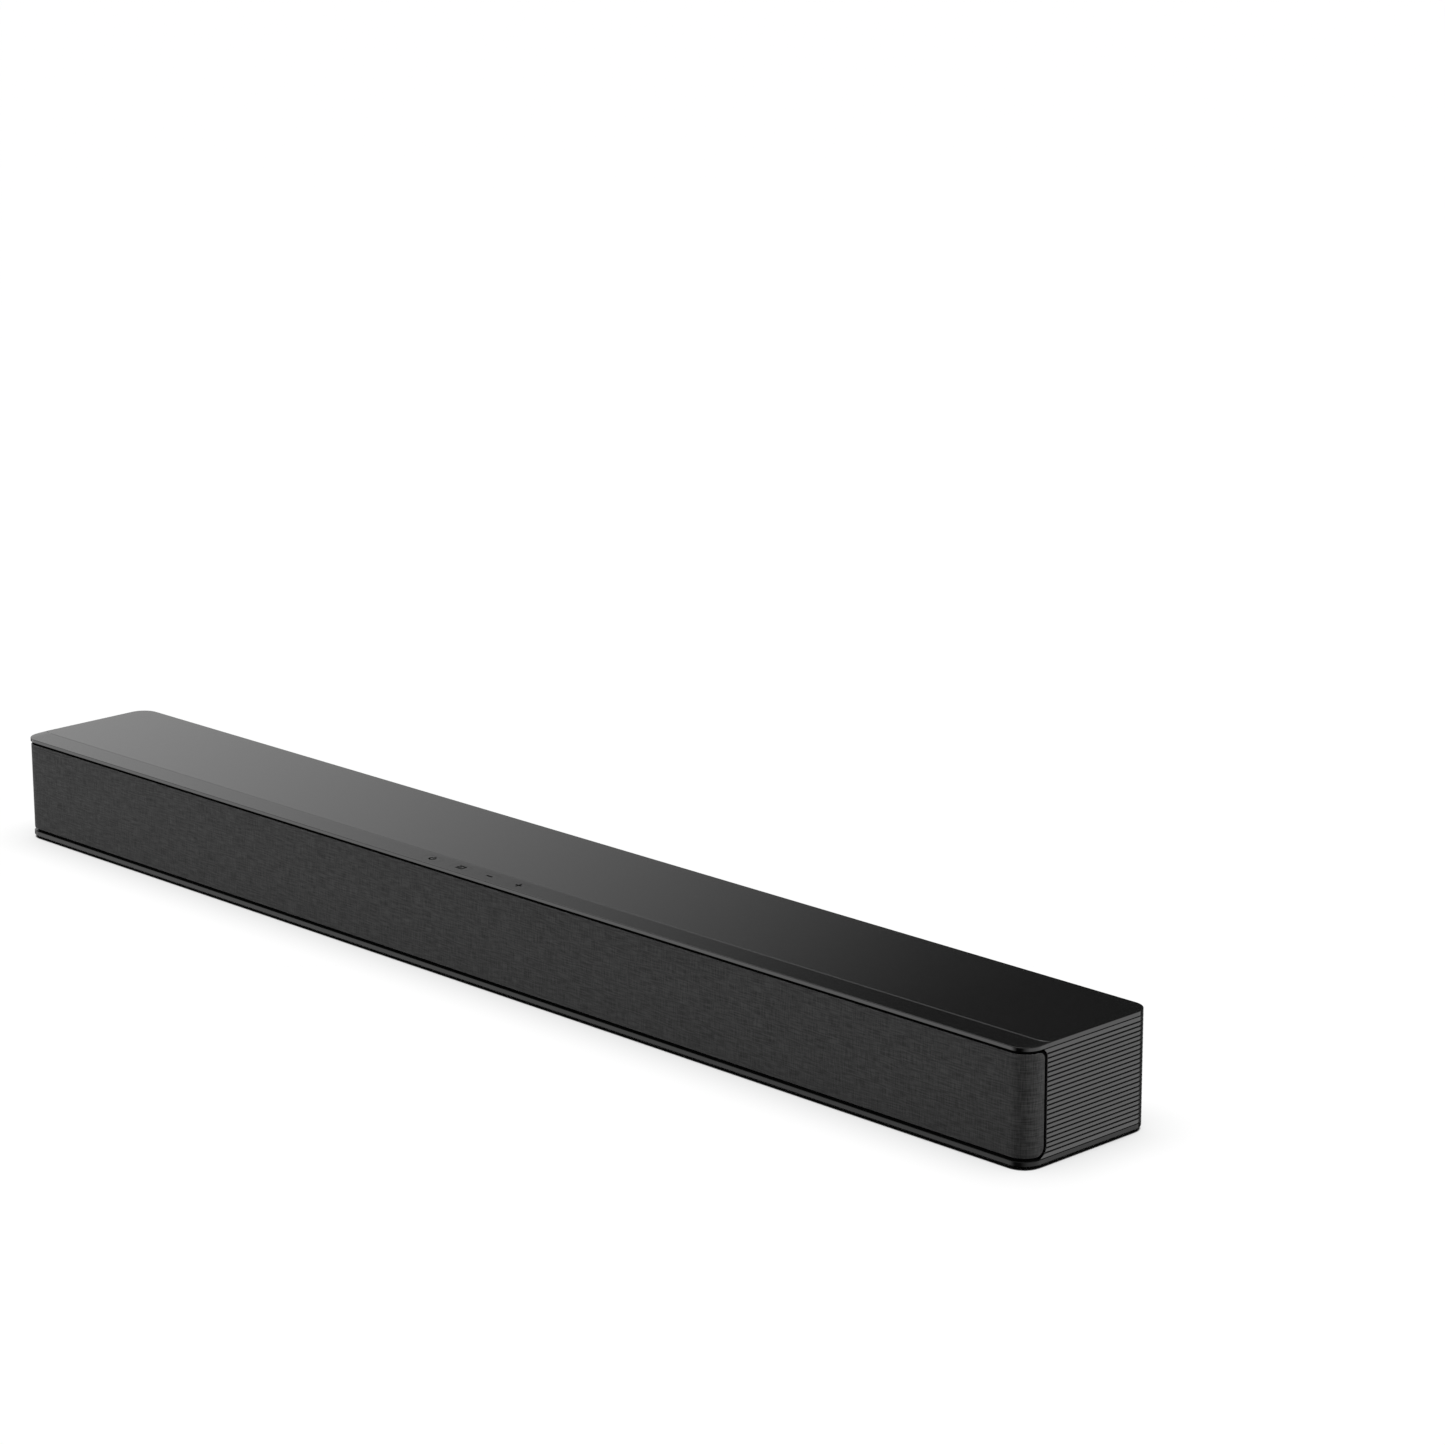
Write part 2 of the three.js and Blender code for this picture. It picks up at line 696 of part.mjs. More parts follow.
function cone(x) {
  return turned(
    [
      [0, -1.2],
      [4, -0.8],
      [7.5, 1.0],
      [16.8, -2.4],
      [16.8, -1.7],
      [7.8, 3.2],
      [7.8, 8],
      [6.8, 8],
      [6.8, 2.4],
      [3.8, 0],
      [0, -0.4],
    ].map(([radius, y]) => [radius, y + BAFFLE_FRONT]),
    x,
    DRIVER_Z,
  );
}

function magnet(x) {
  const front = BAFFLE_FRONT + MAGNET.fromBaffle + GAP;
  return bar("y", [x, front, DRIVER_Z], MAGNET.length, MAGNET.radius, ROUND_SIDES);
}

// ---- Electronics ----

function mainBoard() {
  const board = block([-92, BOARD_FRONT, BOARD_UNDERSIDE], [58, 30, BOARD_TOP]);
  const chips = [
    { at: [-60, 0], size: [14, 14, 1.6] },
    { at: [-30, -8], size: [10, 10, 1.4] },
    { at: [30, 4], size: [8, 20, 6] },
    { at: [46, -8], size: [8, 8, 8] },
  ].map(({ at: [x, y], size: [w, d, h] }) =>
    block([x - w / 2, y - d / 2, BOARD_TOP - ROOT], [x + w / 2, y + d / 2, BOARD_TOP + h]),
  );
  return join(board, ...chips);
}

function powerBoard() {
  const board = block([70, BOARD_FRONT, BOARD_UNDERSIDE], [190, 19, BOARD_TOP]);
  const transformer = block([140, -12, BOARD_TOP - ROOT], [166, 14, BOARD_TOP + 22]);
  const capacitors = [
    { at: [86, -6], radius: 8, height: 20 },
    { at: [104, -8], radius: 6, height: 16 },
    { at: [178, 10], radius: 6, height: 18 },
  ].map(({ at, radius, height }) => bar("z", [...at, BOARD_TOP - ROOT], height + ROOT, radius));
  return join(board, transformer, ...capacitors);
}

function keyBoard() {
  return block(
    [-KEY_BOARD_HALF, KEY_BOARD_FRONT, KEY_BOARD_TOP - KEY_BOARD_THICKNESS],
    [KEY_BOARD_HALF, KEY_BOARD_BACK, KEY_BOARD_TOP],
  );
}

function tactSwitch(x) {
  const { half, height, plungerRadius, plungerTop } = SWITCH;
  const plungerFoot = height - ROOT;
  return join(
    block([x - half, KEY_Y - half, KEY_BOARD_TOP], [x + half, KEY_Y + half, KEY_BOARD_TOP + height]),
    bar("z", [x, KEY_Y, KEY_BOARD_TOP + plungerFoot], plungerTop - plungerFoot, plungerRadius, 8),
  );
}

// A key: a cap flush with the strip, a collar that stops it under the cover, and a stem over its switch.
function key(x) {
  const collarTop = HEIGHT - COVER_WALL - GAP;
  const collarBottom = collarTop - 0.9;
  const stemHalf = 1.5;
  const stemBottom = KEY_BOARD_TOP + SWITCH.plungerTop + 0.6;
  const [[x0, y0], [x1, y1]] = keyFootprint(x, 0);
  const cap = alongX(
    [
      [y0, collarTop - ROOT],
      [y1, collarTop - ROOT],
      [y1, stripHeight(y1)],
      [y0, stripHeight(y0)],
    ],
    x0,
    x1,
  );
  const [collarLow, collarHigh] = keyFootprint(x, 2 * GAP);
  return join(
    cap,
    block([...collarLow, collarBottom], [...collarHigh, collarTop]),
    block([x - stemHalf, KEY_Y - stemHalf, stemBottom], [x + stemHalf, KEY_Y + stemHalf, collarTop]),
  );
}

// Lamps and the remote control's eye, behind the cloth at the right of the keys.
function indicatorBoard() {
  const board = block([96, -39.5, 26], [140, -38, 42]);
  const lamps = [104, 112, 120].map((x) => bar("y", [x, -41, 34], 2, 1.5));
  const eye = block([129, -41.3, 30], [135, -39, 38]);
  return join(board, ...lamps, eye);
}

function heatSink() {
  const fins = Array.from({ length: 6 }, (_, i) => {
    const x = -14 + i * 6;
    return block([x, -14, BOARD_TOP + 3], [x + 1.6, 14, BOARD_TOP + 18]);
  });
  return join(block([-16, -14, BOARD_TOP + GAP], [20, 14, BOARD_TOP + 4]), ...fins);
}

function wirelessModule() {
  return join(
    block([-88, -16, BOARD_TOP + GAP], [-70, 12, BOARD_TOP + 1.2]),
    block([-86, -14, BOARD_TOP + 0.8], [-72, 2, BOARD_TOP + 3]),
  );
}

// A lead or ribbon: an outline in its own plane carried along a smooth curve through points.
function lead(points, section, steps) {
  const curve = new THREE.CatmullRomCurve3(points.map((point) => new THREE.Vector3(...point)));
  const geometry = new THREE.ExtrudeGeometry(section, {
    steps,
    bevelEnabled: false,
    extrudePath: curve,
    curveSegments: 2,
  });
  return solid(geometry);
}

// The twin lead from the main board to the two drivers of one side.
function speakerLead(side) {
  const radius = 1.3;
  const start = side < 0 ? -60 : 30;
  const points = [
    [start, BOARD_FRONT - GAP - radius, 16],
    [start + side * 10, -22, 9],
    [side * 120, -21.8, 7],
    [side * 200, -21, 7],
    [side * 250, -16, 7],
    [side * 290, -9, 10],
    [side * 300, -9, 24],
  ];
  return lead(points, new THREE.Shape().absarc(0, 0, radius, 0, Math.PI * 2, false), 24);
}

// The flat ribbon from the key board's back edge down to the main board's front edge.
function keyRibbon() {
  const width = 12;
  const thickness = 0.6;
  const x = -20;
  const topZ = KEY_BOARD_TOP - KEY_BOARD_THICKNESS - GAP;
  return alongX(
    [
      [-29, topZ],
      [-29, 40],
      [-24, 26],
      [BOARD_FRONT - GAP, BOARD_TOP],
      [BOARD_FRONT - GAP, BOARD_TOP - 1],
      [BOARD_FRONT - 1 - thickness, BOARD_TOP - 1],
      [-24 - thickness, 26],
      [-29 - thickness, 40],
      [-29 - thickness, topZ],
    ],
    x - width / 2,
    x + width / 2,
  );
}

// ---- Feet and screws ----

function foot(x, y) {
  const halfLength = 16;
  const halfWidth = 6;
  return raised(
    roundedRectangle(x - halfLength, y - halfWidth, x + halfLength, y + halfWidth, halfWidth - 0.5),
    0,
    FOOT_HEIGHT,
    3,
  );
}

// A screw with its head in a well of the bottom cover and its shank up in the boss.
function bottomScrew(x, y) {
  const headBottom = FOOT_HEIGHT + SCREW_HEAD.above;
  const head = bar("z", [x, y, headBottom], SCREW_HEAD.height, SCREW_HEAD.radius);
  const shank = bar("z", [x, y, headBottom + ROOT], SCREW_SHANK_LENGTH, SCREW_SHANK_RADIUS, 8);
  return join(head, shank);
}

// ---- Putting it together ----

addPiece("top_cover", topCover(), satinBlack);
addPiece("bottom_cover", bottomCover(), satinBlack);
addPiece("left_end_cap", endCap(-1), ribbedBlack);
addPiece("right_end_cap", endCap(1), ribbedBlack);
addPiece("grille_frame", grilleFrame(), innerBlack);
addPiece("grille_fabric", grilleFabric(), clothBlack);
addPiece("rear_panel", rearPanel(), ribbedBlack);
addPiece("connector_bay", bayTub(BAY_SPAN_X, Object.values(SOCKETS).map(socketHole)), innerBlack);
addPiece(
  "power_bay",
  bayTub(INLET_BAY_SPAN_X, [socketHole({ x: INLET_X, half: INLET_HALF })]),
  innerBlack,
);
addPiece("front_baffle", frontBaffle(), innerBlack);

for (const [name, socket] of Object.entries(SOCKETS)) addPiece(name, socketBody(socket), innerBlack);
addPiece("optical_flap", opticalFlap(), innerBlack);
addPiece("power_inlet", powerInlet(), innerBlack);

KEY_NAMES.forEach((name, i) => {
  addPiece(name, key(keyCentres[i]), satinBlack);
  addPiece(name.replace("_key", "_switch"), tactSwitch(keyCentres[i]), innerBlack);
});

DRIVER_X.forEach((x, i) => {
  const side = DRIVER_NAMES[i];
  addPiece(side + "_basket", basket(x), pressedSteel);
  addPiece(side + "_surround", surround(x), rubberBlack);
  addPiece(side + "_cone", cone(x), paperCone);
  addPiece(side + "_magnet", magnet(x), ferrite);
});

addPiece("main_board", mainBoard(), boardGreen);
addPiece("power_board", powerBoard(), boardGreen);
addPiece("key_board", keyBoard(), boardGreen);
addPiece("indicator_board", indicatorBoard(), boardGreen);
addPiece("heat_sink", heatSink(), extrudedAluminium);
addPiece("wireless_module", wirelessModule(), boardGreen);
addPiece("left_speaker_lead", speakerLead(-1), insulation);
addPiece("right_speaker_lead", speakerLead(1), insulation);
addPiece("key_ribbon", keyRibbon(), insulation);

for (const [end, x] of [["left", -FOOT_X], ["right", FOOT_X]])
  for (const [row, y] of [["front", -FOOT_Y], ["rear", FOOT_Y]])
    addPiece(`${row}_${end}_foot`, foot(x, y), rubberBlack);

screwPlaces().forEach(([x, y], i) => addPiece(`bottom_screw_${i + 1}`, bottomScrew(x, y), blackedScrew));

export default soundbar;
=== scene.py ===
"""A soundbar on a pale floor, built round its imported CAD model.

The CAD nodes give every size and place. The covers, end caps, cloth, keys, rear panel, two socket shells,
screws and drivers are rebuilt here with rounded edges. The other nodes keep their shapes and get a procedural
material, and some get soft edges.
"""

import math

import bmesh
import bpy
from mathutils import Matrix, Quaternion, Vector


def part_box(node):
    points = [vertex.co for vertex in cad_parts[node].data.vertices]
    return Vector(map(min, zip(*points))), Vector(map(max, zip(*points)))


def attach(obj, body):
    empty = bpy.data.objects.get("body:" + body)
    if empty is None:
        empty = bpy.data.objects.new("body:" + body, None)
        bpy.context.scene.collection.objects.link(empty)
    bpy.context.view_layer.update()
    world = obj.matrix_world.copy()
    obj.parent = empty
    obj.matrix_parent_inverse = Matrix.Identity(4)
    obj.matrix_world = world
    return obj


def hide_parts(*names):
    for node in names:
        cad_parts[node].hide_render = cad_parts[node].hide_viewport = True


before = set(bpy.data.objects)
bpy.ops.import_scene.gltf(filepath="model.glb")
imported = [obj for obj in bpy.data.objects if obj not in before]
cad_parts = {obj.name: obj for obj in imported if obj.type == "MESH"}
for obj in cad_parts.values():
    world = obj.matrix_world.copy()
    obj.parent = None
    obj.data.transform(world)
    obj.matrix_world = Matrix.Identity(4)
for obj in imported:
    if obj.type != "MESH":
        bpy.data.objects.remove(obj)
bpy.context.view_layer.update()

MM = 0.001

# ---- Sizes, in millimetres, from the frame ----


def span(node):
    """Lowest and highest corner of a CAD node, in millimetres."""
    low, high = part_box(node)
    return low / MM, high / MM


COVER_HIGH = span("top_cover")[1]
TRAY_BOTTOM = span("bottom_cover")[0].z
CAP_LOW, CAP_HIGH = span("right_end_cap")
CLOTH_LOW, CLOTH_HIGH = span("grille_fabric")
PANEL_LOW, PANEL_HIGH = span("rear_panel")

HALF_LENGTH = COVER_HIGH.x
HALF_DEPTH = COVER_HIGH.y
TOP = COVER_HIGH.z
CORNER_RADIUS = 10.3
FINE_STEPS = 14  # in each quarter turn of the plan
SMALL_STEPS = 6  # in each quarter turn of a small corner

RIM_DEPTH = 2.4  # height of the top cover's rim
RIM_WIDTH = 3.0
RIM_CHAMFER = 0.15
COVER_WALL = 2.0
TOP_EDGE_RADIUS = 0.3
STRIP_DEPTH = 15.0  # of the sloping strip along the front of the top cover
STRIP_FALL = 0.4
STRIP_BACK = STRIP_DEPTH - HALF_DEPTH
CREASE_WIDTH = 0.7  # of the crease between the strip and the deck
CREASE_DEPTH = 0.22
CREASE_BEND = 7.0  # how far from each end the crease starts to turn back
CREASE_SHIFT = 3.0
CREASE_CUTS = 32  # across the crease
END_CUTS = 12  # along it where it turns back

TRAY_RIM_TOP = 4.3
TRAY_FLOOR = 3.4
TRAY_EDGE_RADIUS = 0.8
TRAY_CHAMFER = 0.2
SCREW_WELL = (3.4, 1.0)  # radius and depth
SCREW_HOLE = (1.8, 4.0)

RIB_PITCH = 2.348
FIRST_GROOVE = 4.6
GROOVE_HALF_WIDTH = 0.36
GROOVE_DEPTH = 0.95
GROOVE_FLAT = 0.05  # half the width of a groove's floor
CREST_RADIUS = 0.1
CAP_THICKNESS = 2.6
CAP_BOTTOM_GAP = 0.2  # over the tray's rim
CAP_TOP_GAP = 0.32  # under the cover's rim
CAP_CHAMFER = 0.18
SEAM = 1.4  # between the cloth's end and the ribs
EAR_THICKNESS = 0.65  # of the cap where it reaches forward over the grille frame, round the cloth's corners
EAR_GROOVE = 0.45
EAR_RAMP = 0.3  # over which it gets thicker
FULL_START = 14.5  # from the front of the bar, where the cap gets its full thickness
UNDERCUT = 0.75

CLOTH_END_RADII = (4.6, 3.6)  # of its lower and upper corners at each side
CLOTH_BOTTOM_GAP = 0.1  # from the CAD cloth's edges to the places where the cloth starts to roll over
CLOTH_TOP_GAP = 0.5
CLOTH_EDGE = 0.5  # how far in the cloth rolls as it goes round the frame's edge
CLOTH_TUCK = 0.8  # how much further in its edge lies
CLOTH_THICKNESS = 0.35

KEY_RADIUS = 1.6
KEY_GAP = 0.07
KEY_EDGE = 0.05
KEY_STEM_INSET = 2.5
KEY_LEAST_RADIUS = 0.3  # of the hidden stem's corners
COLLAR = 0.6  # how far a key's hidden collar stands out round its cap
COLLAR_THICKNESS = 0.9
COLLAR_GAP = 0.3  # under the cover's wall
PRINT_DEPTH = 0.03
PRINT_SINK = 0.02  # how much of a symbol's ink lies under the key's face
KEY_NAMES = ["power", "source", "volume_down", "volume_up"]
SCREWS = sorted(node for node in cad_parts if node.startswith("bottom_screw"))
DRIVERS = ["outer_left", "inner_left", "inner_right", "outer_right"]


# ---- Nodes and materials ----


def new_material(name):
    """A node material, its tree and its shader."""
    material = bpy.data.materials.new(name)
    material.use_nodes = True
    tree = material.node_tree
    shader = tree.nodes["Principled BSDF"]
    return material, tree, shader


def add(tree, kind, **settings):
    """Adds a node. A setting named like an input sets that input; any other sets the node's own property."""
    node = tree.nodes.new(kind)
    for key, value in settings.items():
        name = key.replace("_", " ").title()
        if name in node.inputs:
            node.inputs[name].default_value = value
        else:
            setattr(node, key, value)
    return node


def object_place(tree, scale=(1, 1, 1)):
    """Object coordinates in millimetres, stretched by scale."""
    place = add(tree, "ShaderNodeTexCoord")
    stretch = add(tree, "ShaderNodeVectorMath", operation="MULTIPLY")
    stretch.inputs[1].default_value = [s / MM for s in scale]
    tree.links.new(place.outputs["Object"], stretch.inputs[0])
    return stretch.outputs["Vector"]


def noise_of(tree, place, size, detail=2.0, roughness=0.5):
    """Noise with lumps about size millimetres across."""
    node = add(tree, "ShaderNodeTexNoise", scale=1.0 / size, detail=detail, roughness=roughness)
    tree.links.new(place, node.inputs["Vector"])
    return node.outputs["Fac"]


def ramp(tree, value, low, high, colour_low, colour_high):
    """A colour that goes from colour_low to colour_high as value goes from low to high."""
    node = add(tree, "ShaderNodeMapRange")
    node.data_type = "FLOAT_VECTOR"
    vector = [s for s in node.inputs if s.type == "VECTOR"]
    vector[1].default_value = (low,) * 3
    vector[2].default_value = (high,) * 3
    vector[3].default_value = colour_low
    vector[4].default_value = colour_high
    tree.links.new(value, vector[0])
    return node.outputs["Vector"]


def value_range(tree, value, low, high, to_low, to_high):
    """A value that goes from to_low to to_high as value goes from low to high, and stops at both ends."""
    node = add(tree, "ShaderNodeMapRange")
    node.inputs["From Min"].default_value = low
    node.inputs["From Max"].default_value = high
    node.inputs["To Min"].default_value = to_low
    node.inputs["To Max"].default_value = to_high
    tree.links.new(value, node.inputs["Value"])
    return node.outputs["Result"]


def maths(tree, operation, a, b):
    """One sum. Each of a and b is a number or an output of another node."""
    node = add(tree, "ShaderNodeMath", operation=operation)
    for socket, value in zip(node.inputs, (a, b)):
        if isinstance(value, (int, float)):
            socket.default_value = value
        else:
            tree.links.new(value, socket)
    return node.outputs["Value"]


def bump(tree, shader, height, distance, strength=1.0):
    node = add(tree, "ShaderNodeBump", strength=strength, distance=distance * MM)
    tree.links.new(height, node.inputs["Height"])
    tree.links.new(node.outputs["Normal"], shader.inputs["Normal"])


def grey(level):
    return (level, level, level)


def moulded(name, level, roughness, grain=0.35, grain_depth=0.004, drift=0.12, specular=0.5):
    """Moulded plastic: a fine spark-eroded grain, and a slow drift in shade and gloss."""
    material, tree, shader = new_material(name)
    shader.inputs["Specular IOR Level"].default_value = specular
    place = object_place(tree)
    slow = noise_of(tree, place, 60, detail=3)
    fine = noise_of(tree, place, grain, detail=3, roughness=0.6)
    low, high = grey(level * (1 - drift)), grey(level * (1 + drift))
    tree.links.new(ramp(tree, slow, 0.3, 0.7, low, high), shader.inputs["Base Color"])
    swing = 0.3 * drift * roughness
    slow_gloss = value_range(tree, slow, 0.3, 0.7, -swing, swing)
    fine_gloss = value_range(tree, fine, 0.3, 0.7, roughness - 0.02, roughness + 0.02)
    tree.links.new(maths(tree, "ADD", slow_gloss, fine_gloss), shader.inputs["Roughness"])
    bump(tree, shader, fine, grain_depth)
    return material


def metal(name, colour, roughness, brushed=(1, 1, 1)):
    """Bare or plated metal with fine marks, which brushed stretches along an axis."""
    material, tree, shader = new_material(name)
    shader.inputs["Metallic"].default_value = 1.0
    fine = noise_of(tree, object_place(tree, brushed), 0.5, detail=4)
    low = tuple(c * 0.85 for c in colour)
    tree.links.new(ramp(tree, fine, 0.3, 0.7, low, colour), shader.inputs["Base Color"])
    gloss = value_range(tree, fine, 0.3, 0.7, roughness - 0.06, roughness + 0.08)
    tree.links.new(gloss, shader.inputs["Roughness"])
    bump(tree, shader, fine, 0.006)
    return material


def rubber(name, level, roughness=0.85):
    return moulded(name, level, roughness, grain=0.5, grain_depth=0.02, drift=0.2, specular=0.35)


def circuit_board(name):
    """Green solder mask over a maze of copper tracks."""
    material, tree, shader = new_material(name)
    place = object_place(tree)
    tracks = add(tree, "ShaderNodeTexBrick", scale=0.35, mortar_size=0.03, offset=0.37)
    tracks.inputs["Color1"].default_value = (0.008, 0.06, 0.025, 1)
    tracks.inputs["Color2"].default_value = (0.010, 0.085, 0.035, 1)
    tracks.inputs["Mortar"].default_value = (0.03, 0.16, 0.06, 1)
    tree.links.new(place, tracks.inputs["Vector"])
    tree.links.new(tracks.outputs["Color"], shader.inputs["Base Color"])
    shader.inputs["Roughness"].default_value = 0.35
    bump(tree, shader, tracks.outputs["Fac"], 0.03)
    return material


CLOTH_LEVEL = 0.031  # mean shade of the cloth
THREAD_PITCH = 0.62
UPRIGHT_SLUB = (0.6, 7.0)  # along and up the cloth
LEVEL_SLUB = (9.0, 0.7)
CLOUD = (24.0, 14.0)


def grille_weave(name):
    """Heathered plain weave: fine crossing threads, with slubs that run up the cloth and along it, and
    painted shade that darkens it towards the bottom.
    """
    material, tree, shader = new_material(name)
    shader.inputs["Roughness"].default_value = 0.92
    shader.inputs["Specular IOR Level"].default_value = 0.25
    shader.inputs["Sheen Weight"].default_value = 0.12
    shader.inputs["Sheen Roughness"].default_value = 0.5
    along = along_cloth(tree)
    warp = thread_wave(tree, along, 0, THREAD_PITCH)
    weft = thread_wave(tree, along, 1, THREAD_PITCH)
    upright_slubs = stretched_noise(tree, along, UPRIGHT_SLUB, detail=1.5)
    level_slubs = stretched_noise(tree, along, LEVEL_SLUB, detail=1.5)
    clouds = stretched_noise(tree, along, CLOUD, detail=2)
    slubs = maths(
        tree, "ADD", value_range(tree, upright_slubs, 0.36, 0.66, -0.22, 0.30),
        value_range(tree, level_slubs, 0.36, 0.66, -0.28, 0.40),
    )
    shade = maths(tree, "ADD", slubs, value_range(tree, clouds, 0.3, 0.7, -0.05, 0.05))
    threads = maths(tree, "MAXIMUM", warp, weft)
    shade = maths(tree, "ADD", shade, value_range(tree, threads, 0.3, 1.0, 0.5, 1.1))
    part = add(tree, "ShaderNodeSeparateXYZ")
    tree.links.new(along, part.inputs[0])
    # Painted shade: the cloth's colour is made darker towards its bottom edge, near the floor.
    painted_bottom_shade = value_range(tree, part.outputs[1], 7, 34, 0.81, 1.0)
    shade = maths(tree, "MULTIPLY", shade, painted_bottom_shade)
    colour = ramp(tree, shade, 0.0, 2.0, grey(0.0), grey(2 * CLOTH_LEVEL))
    tree.links.new(colour, shader.inputs["Base Color"])
    relief = maths(tree, "ADD", threads, maths(tree, "MULTIPLY", slubs, 0.6))
    bump(tree, shader, relief, 0.12, strength=0.8)
    return material


def along_cloth(tree):
    """Place on the cloth as laid flat, in millimetres, from an attribute of the mesh."""
    flat = add(tree, "ShaderNodeAttribute", attribute_name="cloth_place")
    return flat.outputs["Vector"]


def stretched_noise(tree, place, size, detail):
    """Noise whose lumps are about size millimetres along and up the cloth."""
    stretch = add(tree, "ShaderNodeVectorMath", operation="MULTIPLY")
    stretch.inputs[1].default_value = (1 / size[0], 1 / size[1], 1)
    tree.links.new(place, stretch.inputs[0])
    node = add(tree, "ShaderNodeTexNoise", scale=1.0, detail=detail)
    tree.links.new(stretch.outputs["Vector"], node.inputs["Vector"])
    return node.outputs["Fac"]


def thread_wave(tree, place, axis, pitch):
    """Rounded threads side by side along one axis of the cloth."""
    part = add(tree, "ShaderNodeSeparateXYZ")
    tree.links.new(place, part.inputs[0])
    turn = maths(tree, "MULTIPLY", part.outputs[axis], math.pi / pitch)
    return maths(tree, "ABSOLUTE", maths(tree, "SINE", turn, 0), 0)


SATIN = moulded("satin_cover_plastic", 0.003, 0.13, grain=0.4, grain_depth=0.0012, drift=0.05)
TRAY_SATIN = moulded(
    "satin_tray_plastic", 0.004, 0.18, grain=0.4, grain_depth=0.0012, drift=0.05, specular=0.2,
)
RIBBED = moulded(
    "ribbed_cap_plastic", 0.008, 0.24, grain=0.4, grain_depth=0.001, drift=0.06, specular=0.6,
)
REAR = moulded("rear_panel_plastic", 0.022, 0.5, grain=0.9, grain_depth=0.05, drift=0.08)
BAY = moulded("bay_plastic", 0.014, 0.55, grain=0.6, grain_depth=0.02)
INNER = moulded("inner_plastic", 0.0015, 0.85, grain=0.6, grain_depth=0.01, specular=0.05)
SOCKET_PLASTIC = moulded("socket_plastic", 0.012, 0.45)
PRINT = moulded("printed_symbol", 0.0015, 0.8, grain=0.3, grain_depth=0.001, specular=0.02)
CLOTH = grille_weave("grille_weave")
SOCKET_METAL = metal("plated_sheet", (0.62, 0.62, 0.60), 0.28)
STEEL = metal("pressed_steel", (0.52, 0.53, 0.55), 0.38)
ALUMINIUM = metal("extruded_aluminium", (0.75, 0.76, 0.78), 0.35, brushed=(1, 0.05, 1))
BLACK_STEEL = metal("blackened_steel", (0.07, 0.07, 0.075), 0.4)
BRASS = metal("contact_gold", (0.85, 0.62, 0.25), 0.3)
FOOT_RUBBER = rubber("foot_rubber", 0.012)
SURROUND_RUBBER = rubber("surround_rubber", 0.015, 0.6)
INSULATION = rubber("lead_insulation", 0.015, 0.5)
CONE_PAPER = moulded("cone_paper", 0.018, 0.85, grain=1.2, grain_depth=0.05, drift=0.2)
FERRITE = moulded("magnet_ferrite", 0.03, 0.6, grain=0.8, grain_depth=0.03, drift=0.2)
BOARD = circuit_board("solder_mask")


# ---- Meshes ----


def piece(name, bm, material, body, replaces=(), sharp=32):
    """Turns a bmesh in millimetres into an object in metres that rides on a body."""
    bmesh.ops.scale(bm, vec=(MM, MM, MM), verts=bm.verts)
    bmesh.ops.remove_doubles(bm, verts=bm.verts, dist=1e-7)
    bmesh.ops.recalc_face_normals(bm, faces=bm.faces)
    limit = math.radians(sharp)
    for face in bm.faces:
        face.smooth = True
    for edge in bm.edges:
        if len(edge.link_faces) == 2:
            edge.smooth = edge.calc_face_angle(0) < limit
    mesh = bpy.data.meshes.new(name)
    bm.to_mesh(mesh)
    bm.free()
    mesh.materials.append(material)
    made = bpy.data.objects.new(name, mesh)
    bpy.context.scene.collection.objects.link(made)
    flatten_normals(made)
    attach(made, body)
    if replaces:
        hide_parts(*replaces)
    return made


def flatten_normals(made):
    """Lets large faces set the normals, so that flat faces shade flat right up to their round edges."""
    weights = made.modifiers.new("normals", "WEIGHTED_NORMAL")
    weights.mode = "FACE_AREA"
    weights.weight = 100
    weights.keep_sharp = True


def rounded_outline(x0, y0, x1, y1, radius, steps):
    """Points round a rectangle with round corners, anticlockwise."""
    points = []
    corners = [(x1, y0, -90), (x1, y1, 0), (x0, y1, 90), (x0, y0, 180)]
    for x, y, start in corners:
        centre_x = x - math.copysign(radius, x - (x0 + x1) / 2)
        centre_y = y - math.copysign(radius, y - (y0 + y1) / 2)
        for step in range(steps + 1):
            angle = math.radians(start + 90 * step / steps)
            points.append((centre_x + radius * math.cos(angle), centre_y + radius * math.sin(angle)))
    return points


def plan_ring(inset):
    """The bar's outline in plan, shrunk by inset."""
    x, y = HALF_LENGTH - inset, HALF_DEPTH - inset
    return rounded_outline(-x, -y, x, y, CORNER_RADIUS - inset, FINE_STEPS)


def skin(bm, rings, close_start=True, close_end=True):
    """Joins rings of 3-D points, all of one count, with faces."""
    made = [[bm.verts.new(point) for point in ring] for ring in rings]
    for low, high in zip(made, made[1:]):
        count = len(low)
        for i in range(count):
            j = (i + 1) % count
            bm.faces.new((low[i], low[j], high[j], high[i]))
    if close_start:
        bm.faces.new(list(reversed(made[0])))
    if close_end:
        bm.faces.new(made[-1])


def quarter(radius, steps):
    """(inset, rise) along a round edge, from the wall to the flat."""
    angles = [math.radians(90 * i / steps) for i in range(steps + 1)]
    return [(radius * (1 - math.cos(a)), radius * math.sin(a)) for a in angles]


def cut_across(bm, axis, places):
    """Cuts every face that a plane at each place along an axis crosses."""
    for place in places:
        normal = Vector((0, 0, 0))
        normal[axis] = 1
        everything = list(bm.verts) + list(bm.edges) + list(bm.faces)
        bmesh.ops.bisect_plane(bm, geom=everything, dist=1e-5, plane_co=normal * place, plane_no=normal)


def block(bm, low, high):
    """Adds a plain block between two corners."""
    made = bmesh.ops.create_cube(bm, size=1)
    for vertex in made["verts"]:
        for axis in range(3):
            vertex.co[axis] = low[axis] if vertex.co[axis] < 0 else high[axis]


